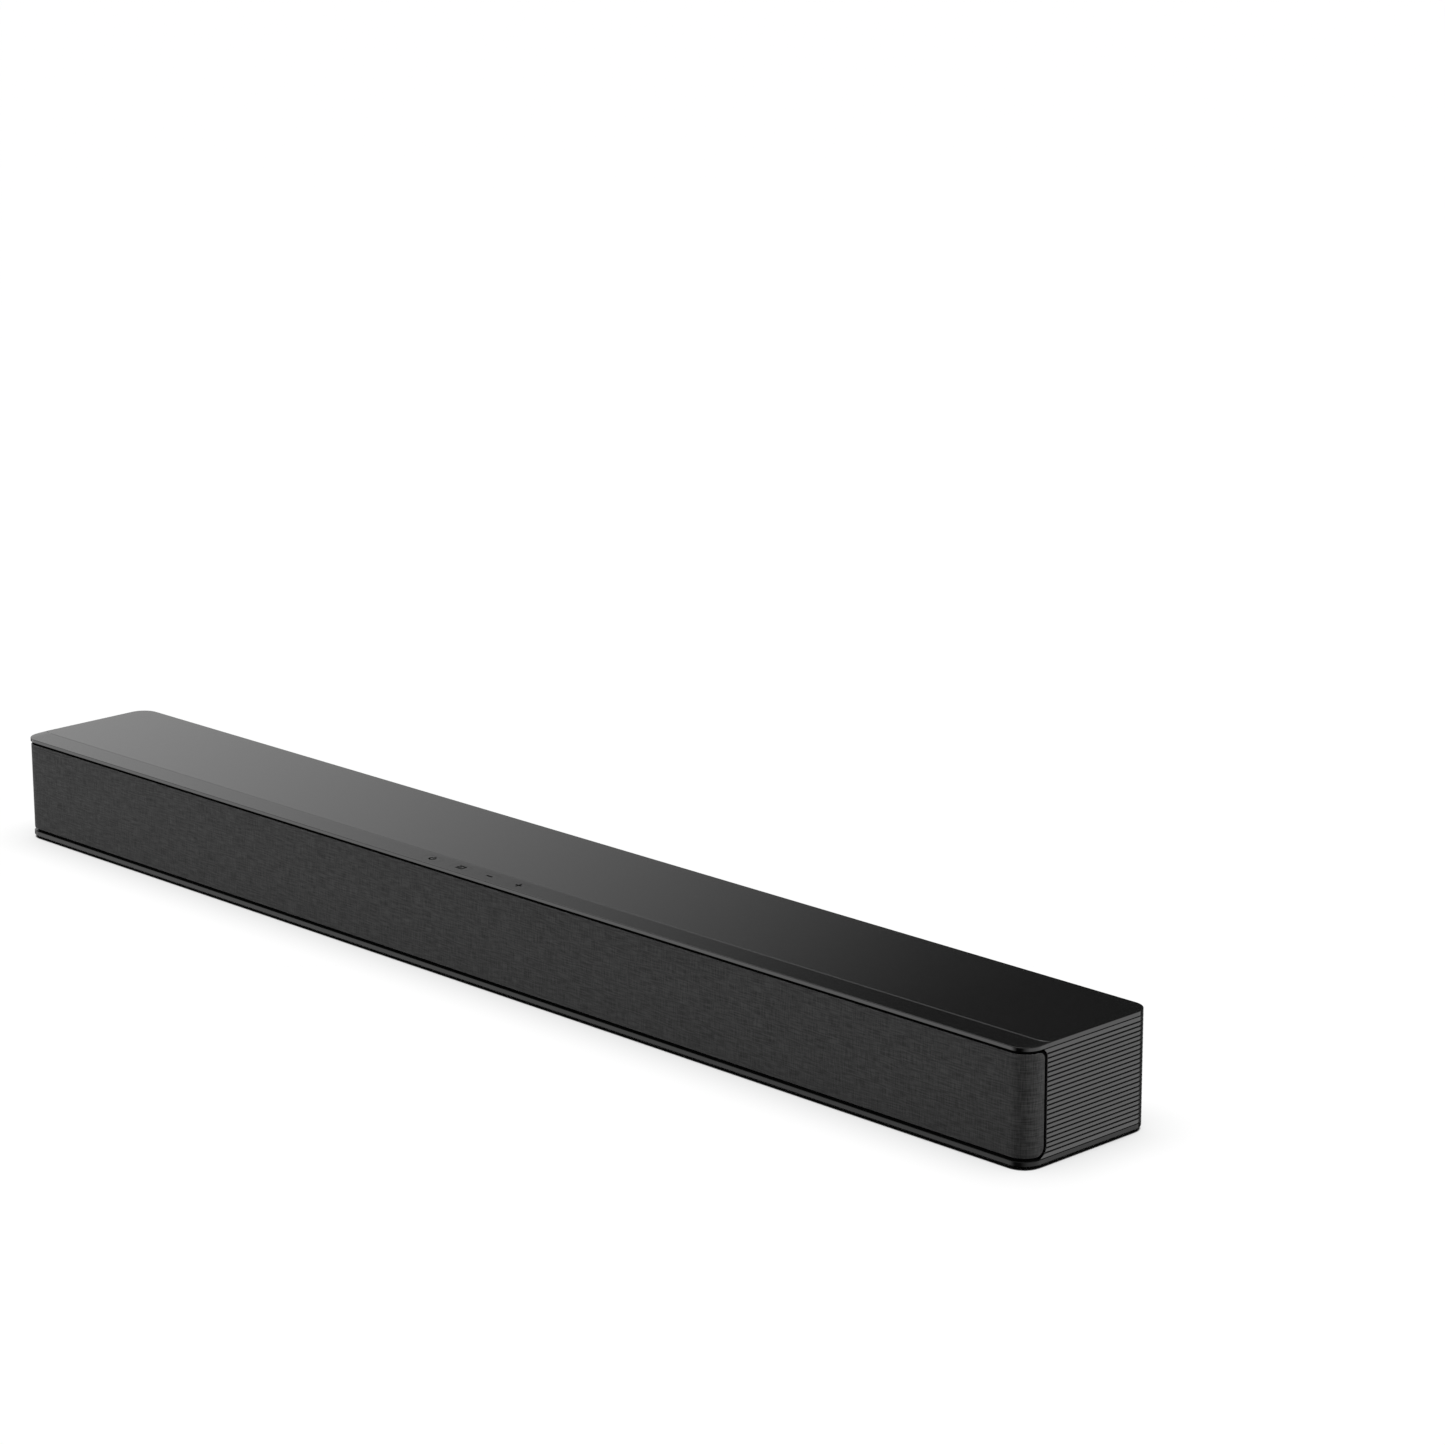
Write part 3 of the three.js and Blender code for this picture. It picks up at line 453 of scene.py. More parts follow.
def prism(outline, z0, z1):
    """A closed bmesh whose outline lies in X and Y."""
    bm = bmesh.new()
    skin(bm, [[(x, y, z) for x, y in outline] for z in (z0, z1)])
    return bm


def upright_prism(outline, y0, y1):
    """A closed bmesh whose outline lies in X and Z."""
    bm = bmesh.new()
    skin(bm, [[(x, y, z) for x, z in outline] for y in (y0, y1)])
    return bm


def circle_outline(x, y, radius, steps=24):
    angles = [2 * math.pi * i / steps for i in range(steps)]
    return [(x + radius * math.cos(a), y + radius * math.sin(a)) for a in angles]


def turned(x, across, profile, axis, steps=24):
    """Rings of (radius, place) round an axis that runs along Y or Z."""
    rings = []
    for radius, place in profile:
        circle = circle_outline(x, across, radius, steps)
        rings.append([(u, place, v) if axis == "y" else (u, v, place) for u, v in circle])
    return rings


def subtract(made, cutter_meshes):
    """Cuts closed bmeshes, in millimetres, out of an object, and frees them."""
    made.modifiers.clear()
    for bm in cutter_meshes:
        bmesh.ops.scale(bm, vec=(MM, MM, MM), verts=bm.verts)
        bmesh.ops.recalc_face_normals(bm, faces=bm.faces)
        mesh = bpy.data.meshes.new("cutter")
        bm.to_mesh(mesh)
        bm.free()
        cutter = bpy.data.objects.new("cutter", mesh)
        bpy.context.scene.collection.objects.link(cutter)
        modifier = made.modifiers.new("cut", "BOOLEAN")
        modifier.operation = "DIFFERENCE"
        modifier.solver = "EXACT"
        modifier.object = cutter
        settle(made)
        bpy.data.objects.remove(cutter)
        bpy.data.meshes.remove(mesh)
    flatten_normals(made)


def settle(made):
    """Applies an object's modifiers to its mesh."""
    graph = bpy.context.evaluated_depsgraph_get()
    old = made.data
    new = bpy.data.meshes.new_from_object(made.evaluated_get(graph))
    made.modifiers.clear()
    made.data = new
    name = old.name
    bpy.data.meshes.remove(old)
    new.name = name


def soften(made, width, segments=2, angle=35):
    """Rounds the edges of a piece or a CAD node with a bevel that leaves its mesh alone."""
    modifier = made.modifiers.new("soft_edges", "BEVEL")
    modifier.width = width * MM
    modifier.segments = segments
    modifier.limit_method = "ANGLE"
    modifier.angle_limit = math.radians(angle)
    modifier.harden_normals = True


# ---- Top cover and keys ----


def strip_drop(y):
    """How far the front strip lies under the deck, at a place between its front and the crease."""
    return STRIP_FALL * max(0.0, STRIP_BACK - y) / STRIP_DEPTH


def cover_drop(x, y):
    """How far the top lies under the deck's level at a place in plan."""
    from_end = HALF_LENGTH - abs(x)
    turn = max(0.0, 1 - from_end / CREASE_BEND) ** 2
    y = y - CREASE_SHIFT * turn
    across = (y - (STRIP_BACK - CREASE_WIDTH / 2)) / (CREASE_WIDTH / 2)
    groove = CREASE_DEPTH * (1 - turn) * max(0.0, 1 - across * across)
    return max(strip_drop(y), groove)


def top_cover():
    """The cover's shell, its top finely cut where the crease runs, with a hole for each key."""
    underside, rim = TOP - COVER_WALL, TOP - RIM_DEPTH
    rings = [(RIM_WIDTH, underside), (RIM_WIDTH, rim), (RIM_CHAMFER, rim), (0, rim + RIM_CHAMFER)]
    rings += [(inset, TOP - TOP_EDGE_RADIUS + rise) for inset, rise in quarter(TOP_EDGE_RADIUS, 5)]
    bm = bmesh.new()
    skin(bm, [[(x, y, z) for x, y in plan_ring(inset)] for inset, z in rings])
    crease = CREASE_WIDTH + CREASE_SHIFT
    cut_across(bm, 1, [STRIP_BACK - CREASE_WIDTH + crease * i / CREASE_CUTS for i in range(CREASE_CUTS + 1)])
    ends = [HALF_LENGTH - CREASE_BEND * i / END_CUTS for i in range(1, END_CUTS + 1)]
    cut_across(bm, 0, [side * x for side in (-1, 1) for x in ends])
    edge = TOP - TOP_EDGE_RADIUS - 1e-3
    for vertex in bm.verts:
        if vertex.co.z > edge:
            vertex.co.z -= cover_drop(vertex.co.x, vertex.co.y)
    made = piece("top_cover_shell", bm, SATIN, "chassis", ["top_cover"], sharp=40)
    subtract(made, [prism(key_outline(name, -KEY_GAP), underside - 1, TOP + 1) for name in KEY_NAMES])


def key_span(name):
    """The plan of a key's cap: its CAD node without the collar."""
    low, high = span(name + "_key")
    grow = Vector((COLLAR, COLLAR, 0))
    return low + grow, high - grow


def key_outline(name, inset):
    """A key's plan, shrunk by inset."""
    low, high = key_span(name)
    radius = max(KEY_RADIUS - inset, KEY_LEAST_RADIUS)
    return rounded_outline(low.x + inset, low.y + inset, high.x - inset, high.y - inset, radius, SMALL_STEPS)


def key_cap(name):
    """A key's cap with its hidden collar and stem. Its face follows the slope of the strip."""
    stem_bottom = span(name + "_key")[0].z
    collar_top = TOP - COVER_WALL - COLLAR_GAP
    collar_bottom = collar_top - COLLAR_THICKNESS
    steps = [
        (KEY_STEM_INSET, stem_bottom), (KEY_STEM_INSET, collar_bottom), (-COLLAR, collar_bottom),
        (-COLLAR, collar_top), (0, collar_top),
    ]
    rings = [[(x, y, z) for x, y in key_outline(name, inset)] for inset, z in steps]
    for inset, rise in quarter(KEY_EDGE, 3):
        outline = key_outline(name, inset)
        rings.append([(x, y, TOP - strip_drop(y) - KEY_EDGE + rise) for x, y in outline])
    bm = bmesh.new()
    skin(bm, rings)
    piece(name + "_key_cap", bm, SATIN, name + "_key", [name + "_key"])


def arc_band(radius, width, start, end, steps=20):
    """The outline of an arc-shaped band."""
    outer, inner = radius + width / 2, radius - width / 2
    angles = [math.radians(start + (end - start) * i / steps) for i in range(steps + 1)]
    points = [(outer * math.cos(a), outer * math.sin(a)) for a in angles]
    return points + [(inner * math.cos(a), inner * math.sin(a)) for a in reversed(angles)]


def bar_outline(x0, y0, x1, y1):
    return [(x0, y0), (x1, y0), (x1, y1), (x0, y1)]


SYMBOLS = {
    "power": [arc_band(1.75, 1.1, 130, 410), bar_outline(-0.55, 0.2, 0.55, 2.7)],
    "source": [
        [(-2.5, -2.2), (3.0, -2.2), (3.0, 2.2), (-2.5, 2.2), (-2.5, 1.1), (1.9, 1.1),
         (1.9, -1.1), (-2.5, -1.1)],
        [(-3.1, -0.45), (-1.1, -0.45), (-1.1, -1.0), (1.0, 0), (-1.1, 1.0), (-1.1, 0.45), (-3.1, 0.45)],
    ],
    "volume_down": [bar_outline(-2.3, -0.65, 2.3, 0.65)],
    "volume_up": [[(-0.6, -2.3), (0.6, -2.3), (0.6, -0.6), (2.3, -0.6), (2.3, 0.6), (0.6, 0.6),
                   (0.6, 2.3), (-0.6, 2.3), (-0.6, 0.6), (-2.3, 0.6), (-2.3, -0.6), (-0.6, -0.6)]],
}


def key_symbol(name):
    """The printed symbol on a key, a film of ink that follows the slope of the strip."""
    low, high = key_span(name)
    middle = (low + high) / 2
    bm = bmesh.new()
    for outline in SYMBOLS[name]:
        placed = [(x + middle.x, y + middle.y) for x, y in outline]
        lifts = (-PRINT_SINK, PRINT_DEPTH - PRINT_SINK)
        skin(bm, [[(x, y, TOP - strip_drop(y) + lift) for x, y in placed] for lift in lifts])
    piece(name + "_symbol", bm, PRINT, name + "_key")


# ---- Bottom cover ----


def bottom_cover():
    """A solid tray whose underside has a well and a hole for each screw."""
    edge = reversed(quarter(TRAY_EDGE_RADIUS, SMALL_STEPS))
    rings = [(inset, TRAY_BOTTOM + TRAY_EDGE_RADIUS - rise) for inset, rise in edge]
    rings += [
        (0, TRAY_RIM_TOP - TRAY_CHAMFER), (TRAY_CHAMFER, TRAY_RIM_TOP), (RIM_WIDTH, TRAY_RIM_TOP),
        (RIM_WIDTH, TRAY_FLOOR),
    ]
    bm = bmesh.new()
    skin(bm, [[(x, y, z) for x, y in plan_ring(inset)] for inset, z in rings])
    made = piece("bottom_cover_tray", bm, TRAY_SATIN, "chassis", ["bottom_cover"])
    wells = []
    for node in SCREWS:
        low, high = span(node)
        middle = (low + high) / 2
        for radius, depth in (SCREW_WELL, SCREW_HOLE):
            circle = circle_outline(middle.x, middle.y, radius)
            wells.append(prism(circle, TRAY_BOTTOM - 1, TRAY_BOTTOM + depth))
    subtract(made, wells)


# ---- End caps ----


def rear_corner(side):
    """Stations (x, y, outward x, outward y) round a rear corner of the plan, from the end to the back."""
    start = 0 if side > 0 else 180
    stations = []
    for step in range(FINE_STEPS + 1):
        angle = math.radians(start + (90 - start) * step / FINE_STEPS)
        out_x, out_y = math.cos(angle), math.sin(angle)
        x = side * (HALF_LENGTH - CORNER_RADIUS) + CORNER_RADIUS * out_x
        y = HALF_DEPTH - CORNER_RADIUS + CORNER_RADIUS * out_y
        stations.append((x, y, out_x, out_y))
    return stations


def rib_profile(low, high):
    """The end cap's outer face, as (inset, z): flat crests with round shoulders between V grooves."""
    chamfer = [(CAP_CHAMFER, 0), (0.05, 0.05), (0, CAP_CHAMFER)]
    profile = [(inset, low + z) for inset, z in chamfer]
    grooves = round((CAP_HIGH.z - CAP_LOW.z) / RIB_PITCH) - 1
    for i in range(1, grooves + 1):
        profile += groove_points(FIRST_GROOVE + i * RIB_PITCH)
    return profile + [(inset, high - z) for inset, z in reversed(chamfer)]


def groove_points(centre):
    """One groove from its lower shoulder to its upper one."""
    below = [(inset, rise - GROOVE_HALF_WIDTH - CREST_RADIUS) for inset, rise in quarter(CREST_RADIUS, 4)]
    below.append((GROOVE_DEPTH, -GROOVE_FLAT))
    return [(inset, centre + z) for inset, z in below] + [(inset, centre - z) for inset, z in reversed(below)]


def cap_front(z):
    """How far from the front of the bar the ribs start, which follows the cloth's round corners."""
    cloth_end = CLOTH_HIGH.y + HALF_DEPTH
    front = cloth_end + SEAM
    corners = ((CLOTH_LOW.z, CLOTH_END_RADII[0], -1), (CLOTH_HIGH.z, CLOTH_END_RADII[1], 1))
    for level, radius, up in corners:
        past = up * (z - (level - up * radius))
        if past > 0:
            reach = radius + SEAM
            front = cloth_end - radius + math.sqrt(max(reach * reach - past * past, 0))
    return front


def end_cap(name, side):
    """A shell round one end, in level slices that run back along its outside and forward along its inside."""
    turns = rear_corner(side)
    slices = []
    for inset, z in rib_profile(TRAY_RIM_TOP + CAP_BOTTOM_GAP, TOP - RIM_DEPTH - CAP_TOP_GAP):
        front = cap_front(z) - HALF_DEPTH
        thin_end = max(front, FULL_START - HALF_DEPTH) + EAR_RAMP
        full = thin_end + EAR_RAMP
        inside = full + EAR_RAMP
        shallow = min(inset, EAR_GROOVE)
        outer = [(shallow + 0.08, front), (shallow, front + 0.1), (shallow, thin_end), (inset, full)]
        inner = [(CAP_THICKNESS, inside), (EAR_THICKNESS, inside), (EAR_THICKNESS, front + UNDERCUT)]
        points = [(side * (HALF_LENGTH - depth), y, z) for depth, y in outer]
        points += [(x - ox * inset, y - oy * inset, z) for x, y, ox, oy in turns]
        points += [(side * CAP_LOW.x, HALF_DEPTH - depth, z) for depth in (inset, CAP_THICKNESS)]
        points += [(x - ox * CAP_THICKNESS, y - oy * CAP_THICKNESS, z) for x, y, ox, oy in reversed(turns)]
        points += [(side * (HALF_LENGTH - depth), y, z) for depth, y in inner]
        slices.append(points)
    bm = bmesh.new()
    skin(bm, slices)
    piece(name + "_ribs", bm, RIBBED, "chassis", [name], sharp=50)


# ---- Grille cloth ----

CLOTH_STRAIGHT = HALF_LENGTH - CORNER_RADIUS  # from the middle of the front to the start of a corner
CLOTH_ARC = CORNER_RADIUS * math.pi / 2
CLOTH_INSET = HALF_DEPTH + CLOTH_LOW.y  # of its face from the bar's outline
CLOTH_SPANS = 24  # faces along each half of the front
CLOTH_LEVELS = 8


def cloth_path(u):
    """Place and outward direction at a distance u along the cloth, from the middle of the front."""
    side = 1 if u >= 0 else -1
    u = abs(u)
    centre_y = CORNER_RADIUS - HALF_DEPTH
    if u <= CLOTH_STRAIGHT:
        return side * u, -HALF_DEPTH, 0, -1
    if u <= CLOTH_STRAIGHT + CLOTH_ARC:
        angle = (u - CLOTH_STRAIGHT) / CORNER_RADIUS
        out_x, out_y = math.sin(angle), -math.cos(angle)
        x = side * (CLOTH_STRAIGHT + CORNER_RADIUS * out_x)
        return x, centre_y + CORNER_RADIUS * out_y, side * out_x, out_y
    return side * HALF_LENGTH, centre_y + u - CLOTH_STRAIGHT - CLOTH_ARC, side, 0


def cloth_outline(shrink, half, low, high, steps=8):
    """The cloth laid flat: a rectangle whose lower and upper corners have their own radii."""
    lower, upper = CLOTH_END_RADII
    points = []
    corners = [
        (1, low, -1, lower, -90), (1, high, 1, upper, 0), (-1, high, 1, upper, 90), (-1, low, -1, lower, 180),
    ]
    for side, level, up, corner_radius, start in corners:
        radius = corner_radius - shrink
        centre_x, centre_z = side * (half - corner_radius), level - up * corner_radius
        for step in range(steps + 1):
            angle = math.radians(start + 90 * step / steps)
            points.append((centre_x + radius * math.cos(angle), centre_z + radius * math.sin(angle)))
    return points


def grille_cloth():
    """The cloth, made flat and then bent round the front and both corners."""
    half = CLOTH_STRAIGHT + CLOTH_ARC + (CLOTH_HIGH.y + HALF_DEPTH - CORNER_RADIUS)
    low, high = CLOTH_LOW.z + CLOTH_BOTTOM_GAP, CLOTH_HIGH.z - CLOTH_TOP_GAP
    # While it is flat, the third coordinate is how far in each ring lies.
    steps = [(0, CLOTH_EDGE + CLOTH_TUCK)]
    steps += [(inset, CLOTH_EDGE - rise) for inset, rise in quarter(CLOTH_EDGE, SMALL_STEPS)]
    bm = bmesh.new()
    skin(bm, [[(u, z, deep) for u, z in cloth_outline(inset, half, low, high)] for inset, deep in steps],
         close_start=False)
    turns = [CLOTH_STRAIGHT + CLOTH_ARC * i / FINE_STEPS for i in range(FINE_STEPS + 1)]
    spans = [CLOTH_STRAIGHT * i / CLOTH_SPANS for i in range(CLOTH_SPANS)]
    cut_across(bm, 0, sorted({side * u for side in (-1, 1) for u in turns + spans}))
    cut_across(bm, 1, [low + (high - low) * i / CLOTH_LEVELS for i in range(1, CLOTH_LEVELS)])
    place = bm.verts.layers.float_vector.new("cloth_place")
    for vertex in bm.verts:
        u, z, deep = vertex.co
        x, y, out_x, out_y = cloth_path(u)
        inset = CLOTH_INSET + deep
        vertex[place] = (u, z, 0)
        vertex.co = (x - out_x * inset, y - out_y * inset, z)
    cloth = piece("grille_cloth", bm, CLOTH, "chassis", ["grille_fabric"], sharp=70)
    facing_out(cloth)
    cloth.modifiers.clear()
    thick = cloth.modifiers.new("thickness", "SOLIDIFY")
    thick.thickness = CLOTH_THICKNESS * MM
    thick.offset = -1


def facing_out(made):
    """Turns an open skin's faces so that those at the front look towards -Y."""
    front = max(made.data.polygons, key=lambda face: face.area)
    if front.normal.y > 0:
        made.data.flip_normals()


# ---- Rear panel ----

PANEL_THICKNESS = 2.5
BAY_LIP = 4.0  # how far the panel reaches in over the bay's rim
BAY_RADIUS = 2.0
KEYHOLE_X = 250.0
KEYHOLE_Z = 44.0  # of the middle of its head
KEYHOLE_HEAD = 4.4  # radius
KEYHOLE_SLOT = 2.6  # radius
KEYHOLE_RISE = 8.0


def rear_panel():
    """A plate with an opening at each bay and two keyholes for wall screws."""
    low, high = PANEL_LOW, PANEL_HIGH
    inner = high.y - PANEL_THICKNESS
    bm = bmesh.new()
    block(bm, (low.x, inner, low.z), (high.x, high.y, high.z))
    made = piece("rear_panel_plate", bm, REAR, "chassis", ["rear_panel"])
    outlines = []
    for node in ("connector_bay", "power_bay"):
        (x0, _, z0), (x1, _, z1) = span(node)
        outlines.append(rounded_outline(
            x0 + BAY_LIP, z0 + BAY_LIP, x1 - BAY_LIP, z1 - BAY_LIP, BAY_RADIUS, SMALL_STEPS,
        ))
    outlines += [keyhole_outline(x) for x in (-KEYHOLE_X, KEYHOLE_X)]
    subtract(made, [upright_prism(outline, inner - 1, high.y + 1) for outline in outlines])
    made.modifiers.clear()
    soften(made, 0.35)
    flatten_normals(made)


def keyhole_outline(x):
    """A round head with a round-ended slot that rises from it."""
    meet = math.degrees(math.acos(KEYHOLE_SLOT / KEYHOLE_HEAD))
    arcs = [
        (KEYHOLE_Z + KEYHOLE_RISE, KEYHOLE_SLOT, 0, 180, 10),
        (KEYHOLE_Z, KEYHOLE_HEAD, 180 - meet, 180 + 2 * meet, 24),
    ]
    points = []
    for z, radius, start, sweep, steps in arcs:
        for i in range(steps + 1):
            angle = math.radians(start + sweep * i / steps)
            points.append((x + radius * math.cos(angle), z + radius * math.sin(angle)))
    return points


# ---- Sockets and screws ----

SHELL_THICKNESS = 0.45
SHELL_LIP = 0.1
TONGUE_RECESS = 1.1  # of its tip behind the socket's face
CONTACT_PROUD = 0.1
CONTACT_RECESS = 0.5  # of its end behind the tongue's tip
RING_INNER = 1.85  # radii of the audio jack's ring
RING_OUTER = 3.3
RING_PROUD = 0.55
RING_SINK = 0.1
INLET_PIN_SPREAD = 4.3
INLET_PIN_RADIUS = 1.26
INLET_PIN_ENDS = (21.7, 32.1)
SCREW_SHANK = 1.4
SCREW_TIP = 0.5
SCREW_HEAD = 0.7  # height
RECESS_REACH = 1.6
RECESS_HALF_WIDTH = 0.3
RECESS_DEPTH = 0.45


def shell_outline(x, z, half_x, half_z, chamfer):
    """A box in X and Z with chamfered lower corners."""
    cut_x, cut_z = chamfer
    return [
        (x - half_x + cut_x, z - half_z), (x + half_x - cut_x, z - half_z), (x + half_x, z - half_z + cut_z),
        (x + half_x, z + half_z), (x - half_x, z + half_z), (x - half_x, z - half_z + cut_z),
    ]


def socket_shell(kind, chamfer, reach):
    """A plated sheet shell, open at its mouth, in place of the plain socket body."""
    low, high = span(kind + "_socket")
    middle, half = (low + high) / 2, (high - low) / 2
    steps = [
        (0, low.y), (0, high.y - 0.15), (0.12, high.y), (SHELL_THICKNESS - SHELL_LIP, high.y),
        (SHELL_THICKNESS, high.y - 0.3), (SHELL_THICKNESS, high.y - reach),
    ]
    rings = []
    for inset, y in steps:
        outline = shell_outline(middle.x, middle.z, half.x - inset, half.z - inset, chamfer)
        rings.append([(x, y, z) for x, z in outline])
    bm = bmesh.new()
    skin(bm, rings)
    piece(kind + "_shell", bm, SOCKET_METAL, "chassis", [kind + "_socket"])


def socket_tongue(kind, half_width, level, thickness, reach, contacts, contact_width):
    """The moulded tongue in a socket, and the row of contacts on its face."""
    low, high = span(kind + "_socket")
    x = (low.x + high.x) / 2
    bottom, tip = high.y - reach, high.y - TONGUE_RECESS
    bm = bmesh.new()
    z0, z1 = sorted((level, level + thickness))
    block(bm, (x - half_width, bottom, z0), (x + half_width, tip, z1))
    soften(piece(kind + "_tongue", bm, SOCKET_PLASTIC, "chassis"), 0.15)
    strips = bmesh.new()
    z0, z1 = sorted((level, level + math.copysign(CONTACT_PROUD, -thickness)))
    for offset in contacts:
        left, right = x + offset - contact_width / 2, x + offset + contact_width / 2
        block(strips, (left, bottom, z0), (right, tip - CONTACT_RECESS, z1))
    piece(kind + "_contacts", strips, BRASS, "chassis")


def aux_ring():
    """The plated ring round the audio jack's hole."""
    low, high = span("aux_jack")
    x, z = (low.x + high.x) / 2, (low.z + high.z) / 2
    back, front = high.y - RING_SINK, high.y + RING_PROUD
    profile = [
        (RING_OUTER, back), (RING_OUTER, front - 0.2), (RING_OUTER - 0.2, front), (RING_INNER + 0.25, front),
        (RING_INNER, front - 0.25), (RING_INNER, back), (RING_OUTER, back),
    ]
    bm = bmesh.new()
    skin(bm, turned(x, z, profile, "y", 32), close_start=False, close_end=False)
    piece("aux_ring", bm, SOCKET_METAL, "chassis")


def inlet_pins():
    """The two round-ended pins in the mains inlet."""
    low, high = span("power_inlet")
    x, z = (low.x + high.x) / 2, (low.z + high.z) / 2
    start, end = INLET_PIN_ENDS
    radius = INLET_PIN_RADIUS
    profile = [(radius, start), (radius, end - 0.6), (radius * 0.85, end - 0.25), (radius * 0.4, end)]
    for side, name in ((-1, "left"), (1, "right")):
        bm = bmesh.new()
        skin(bm, turned(x + side * INLET_PIN_SPREAD, z, profile, "y", 20))
        piece(name + "_inlet_pin", bm, SOCKET_METAL, "chassis")


def cover_screw(node):
    """A pan-head screw whose head, with its cross recess, looks down."""
    low, high = span(node)
    middle, radius = (low + high) / 2, (high.x - low.x) / 2
    head_top = low.z + SCREW_HEAD
    profile = [
        (radius * 0.6, low.z), (radius * 0.86, low.z + 0.1), (radius, low.z + 0.3), (radius, head_top),
        (SCREW_SHANK, head_top), (SCREW_SHANK, high.z - 0.8), (SCREW_TIP, high.z),
    ]
    bm = bmesh.new()
    skin(bm, turned(middle.x, middle.y, profile, "z"))
    made = piece(node + "_turned", bm, BLACK_STEEL, "chassis", [node])
    recess = []
    for half_x, half_y in ((RECESS_REACH, RECESS_HALF_WIDTH), (RECESS_HALF_WIDTH, RECESS_REACH)):
        slot = bmesh.new()
        x, y = middle.x, middle.y
        block(slot, (x - half_x, y - half_y, low.z - 1), (x + half_x, y + half_y, low.z + RECESS_DEPTH))
        recess.append(slot)
    subtract(made, recess)


# ---- Drivers ----

BAFFLE_FRONT = span("front_baffle")[0].y
DRIVER_STEPS = 64
DOME_RADIUS = 7.5
DOME_HEIGHT = 2.2
CONE_RADIUS = 16.8
CONE_RISE = 3.4
CONE_TOP = 1.0  # how far the cap's edge lies behind the baffle's face
ROLL_CENTRE = 19.5  # radius of the middle of the surround's half roll
MAGNET_CHAMFER = 0.6


def half_roll(width, height, base, start, end, steps=10):
    """Points of the surround's half roll between two angles."""
    angles = [math.radians(start + (end - start) * i / steps) for i in range(steps + 1)]
    return [(ROLL_CENTRE + width * math.cos(a), base - height * math.sin(a)) for a in angles]


def cone_face(steps=8):
    """The dust cap's dome and the cone round it, from the middle outwards."""
    radii = [DOME_RADIUS * i / steps for i in range(steps + 1)]
    dome = [(r, CONE_TOP - DOME_HEIGHT * math.sqrt(1 - (r / DOME_RADIUS) ** 2)) for r in radii]
    shares = [i / steps for i in range(1, steps + 1)]
    width = CONE_RADIUS - DOME_RADIUS
    return dome + [(DOME_RADIUS + width * t, CONE_TOP - CONE_RISE * t ** 0.9) for t in shares]


# Profiles as (radius, distance behind the baffle's face).
DRIVER_PROFILES = {
    "cone": cone_face() + [
        (16.8, -1.7), (7.8, 3.2), (7.8, 7.9), (7.7, 8), (6.9, 8), (6.8, 7.9), (6.8, 2.4), (3.8, 0), (0, -0.4),
    ],
    "surround": [
        (24, -1.75), (24, -2.2), (23.9, -2.3), (21.5, -2.35), *half_roll(1.7, 1.5, -2.35, 0, 180),
        (17.3, -2.3), (17.2, -2.2), (17.2, -1.8), (17.3, -1.7), (18.0, -1.75),
        *half_roll(1.3, 1.2, -1.9, 180, 0), (21.3, -1.7), (24, -1.75),
    ],
    "basket": [
        (22, -1.4), (24.8, -1.4), (25, -1.2), (25, -0.1), (22.0, -0.1), (21.9, 0.4), (21.5, 3), (15.4, 11.6),
        (14.9, 12), (11, 12), (11, 11), (13.8, 11), (14.2, 10.8), (20.0, 2.8), (20.2, 2.3), (20.2, -0.6),
        (22, -0.6), (22, -1.4),
    ],
}
DRIVER_FINISHES = {
    "cone": (CONE_PAPER, "cone_paper"), "surround": (SURROUND_RUBBER, "surround_rubber"),
    "basket": (STEEL, "basket_steel"), "magnet": (FERRITE, "magnet_ferrite"),
}


def driver_piece(driver, part):
    """One turned piece of a driver, in place of its faceted CAD node."""
    node = driver + "_" + part
    low, high = span(node)
    x, z = (low.x + high.x) / 2, (low.z + high.z) / 2
    if part == "magnet":
        radius = (high.x - low.x) / 2
        flat = radius - MAGNET_CHAMFER
        profile = [
            (0, low.y), (flat, low.y), (radius, low.y + MAGNET_CHAMFER), (radius, high.y - MAGNET_CHAMFER),
            (flat, high.y), (0, high.y),
        ]
    else:
        profile = [(radius, BAFFLE_FRONT + y) for radius, y in DRIVER_PROFILES[part]]
    bm = bmesh.new()
    skin(bm, turned(x, z, profile, "y", DRIVER_STEPS), close_start=False, close_end=False)
    material, slot = DRIVER_FINISHES[part]
    body = node if part == "cone" else "chassis"
    piece(node + "_turned", bm, material, body, [node])


# ---- The other CAD nodes ----

NODE_MATERIALS = {
    "grille_frame": INNER, "front_baffle": INNER, "connector_bay": BAY, "power_bay": BAY,
    "optical_socket": SOCKET_PLASTIC, "optical_flap": SOCKET_PLASTIC, "aux_jack": SOCKET_PLASTIC,
    "power_inlet": SOCKET_PLASTIC, "heat_sink": ALUMINIUM,
}
ENDINGS = {
    "_foot": FOOT_RUBBER, "_switch": SOCKET_PLASTIC, "_board": BOARD, "_module": BOARD,
    "_lead": INSULATION, "_ribbon": INSULATION,
}
SOFT_EDGES = {"_foot": 0.5, "_socket": 0.15, "_inlet": 0.3, "_jack": 0.15, "_flap": 0.1}


def dress_nodes():
    """Gives every CAD node that stays its material, and bevels the ones that SOFT_EDGES names."""
    for name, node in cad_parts.items():
        if node.hide_render:
            continue
        material = NODE_MATERIALS.get(name)
        for ending, found in ENDINGS.items():
            if name.endswith(ending):
                material = found
        node.data.materials.clear()
        node.data.materials.append(material)
        for ending, width in SOFT_EDGES.items():
            if name.endswith(ending):
                # A CAD node loads with its faces apart, and a bevel needs them joined.
                weld = node.modifiers.new("weld", "WELD")
                weld.merge_threshold = 1e-6
                soften(node, width)
                flatten_normals(node)


# ---- Stage ----

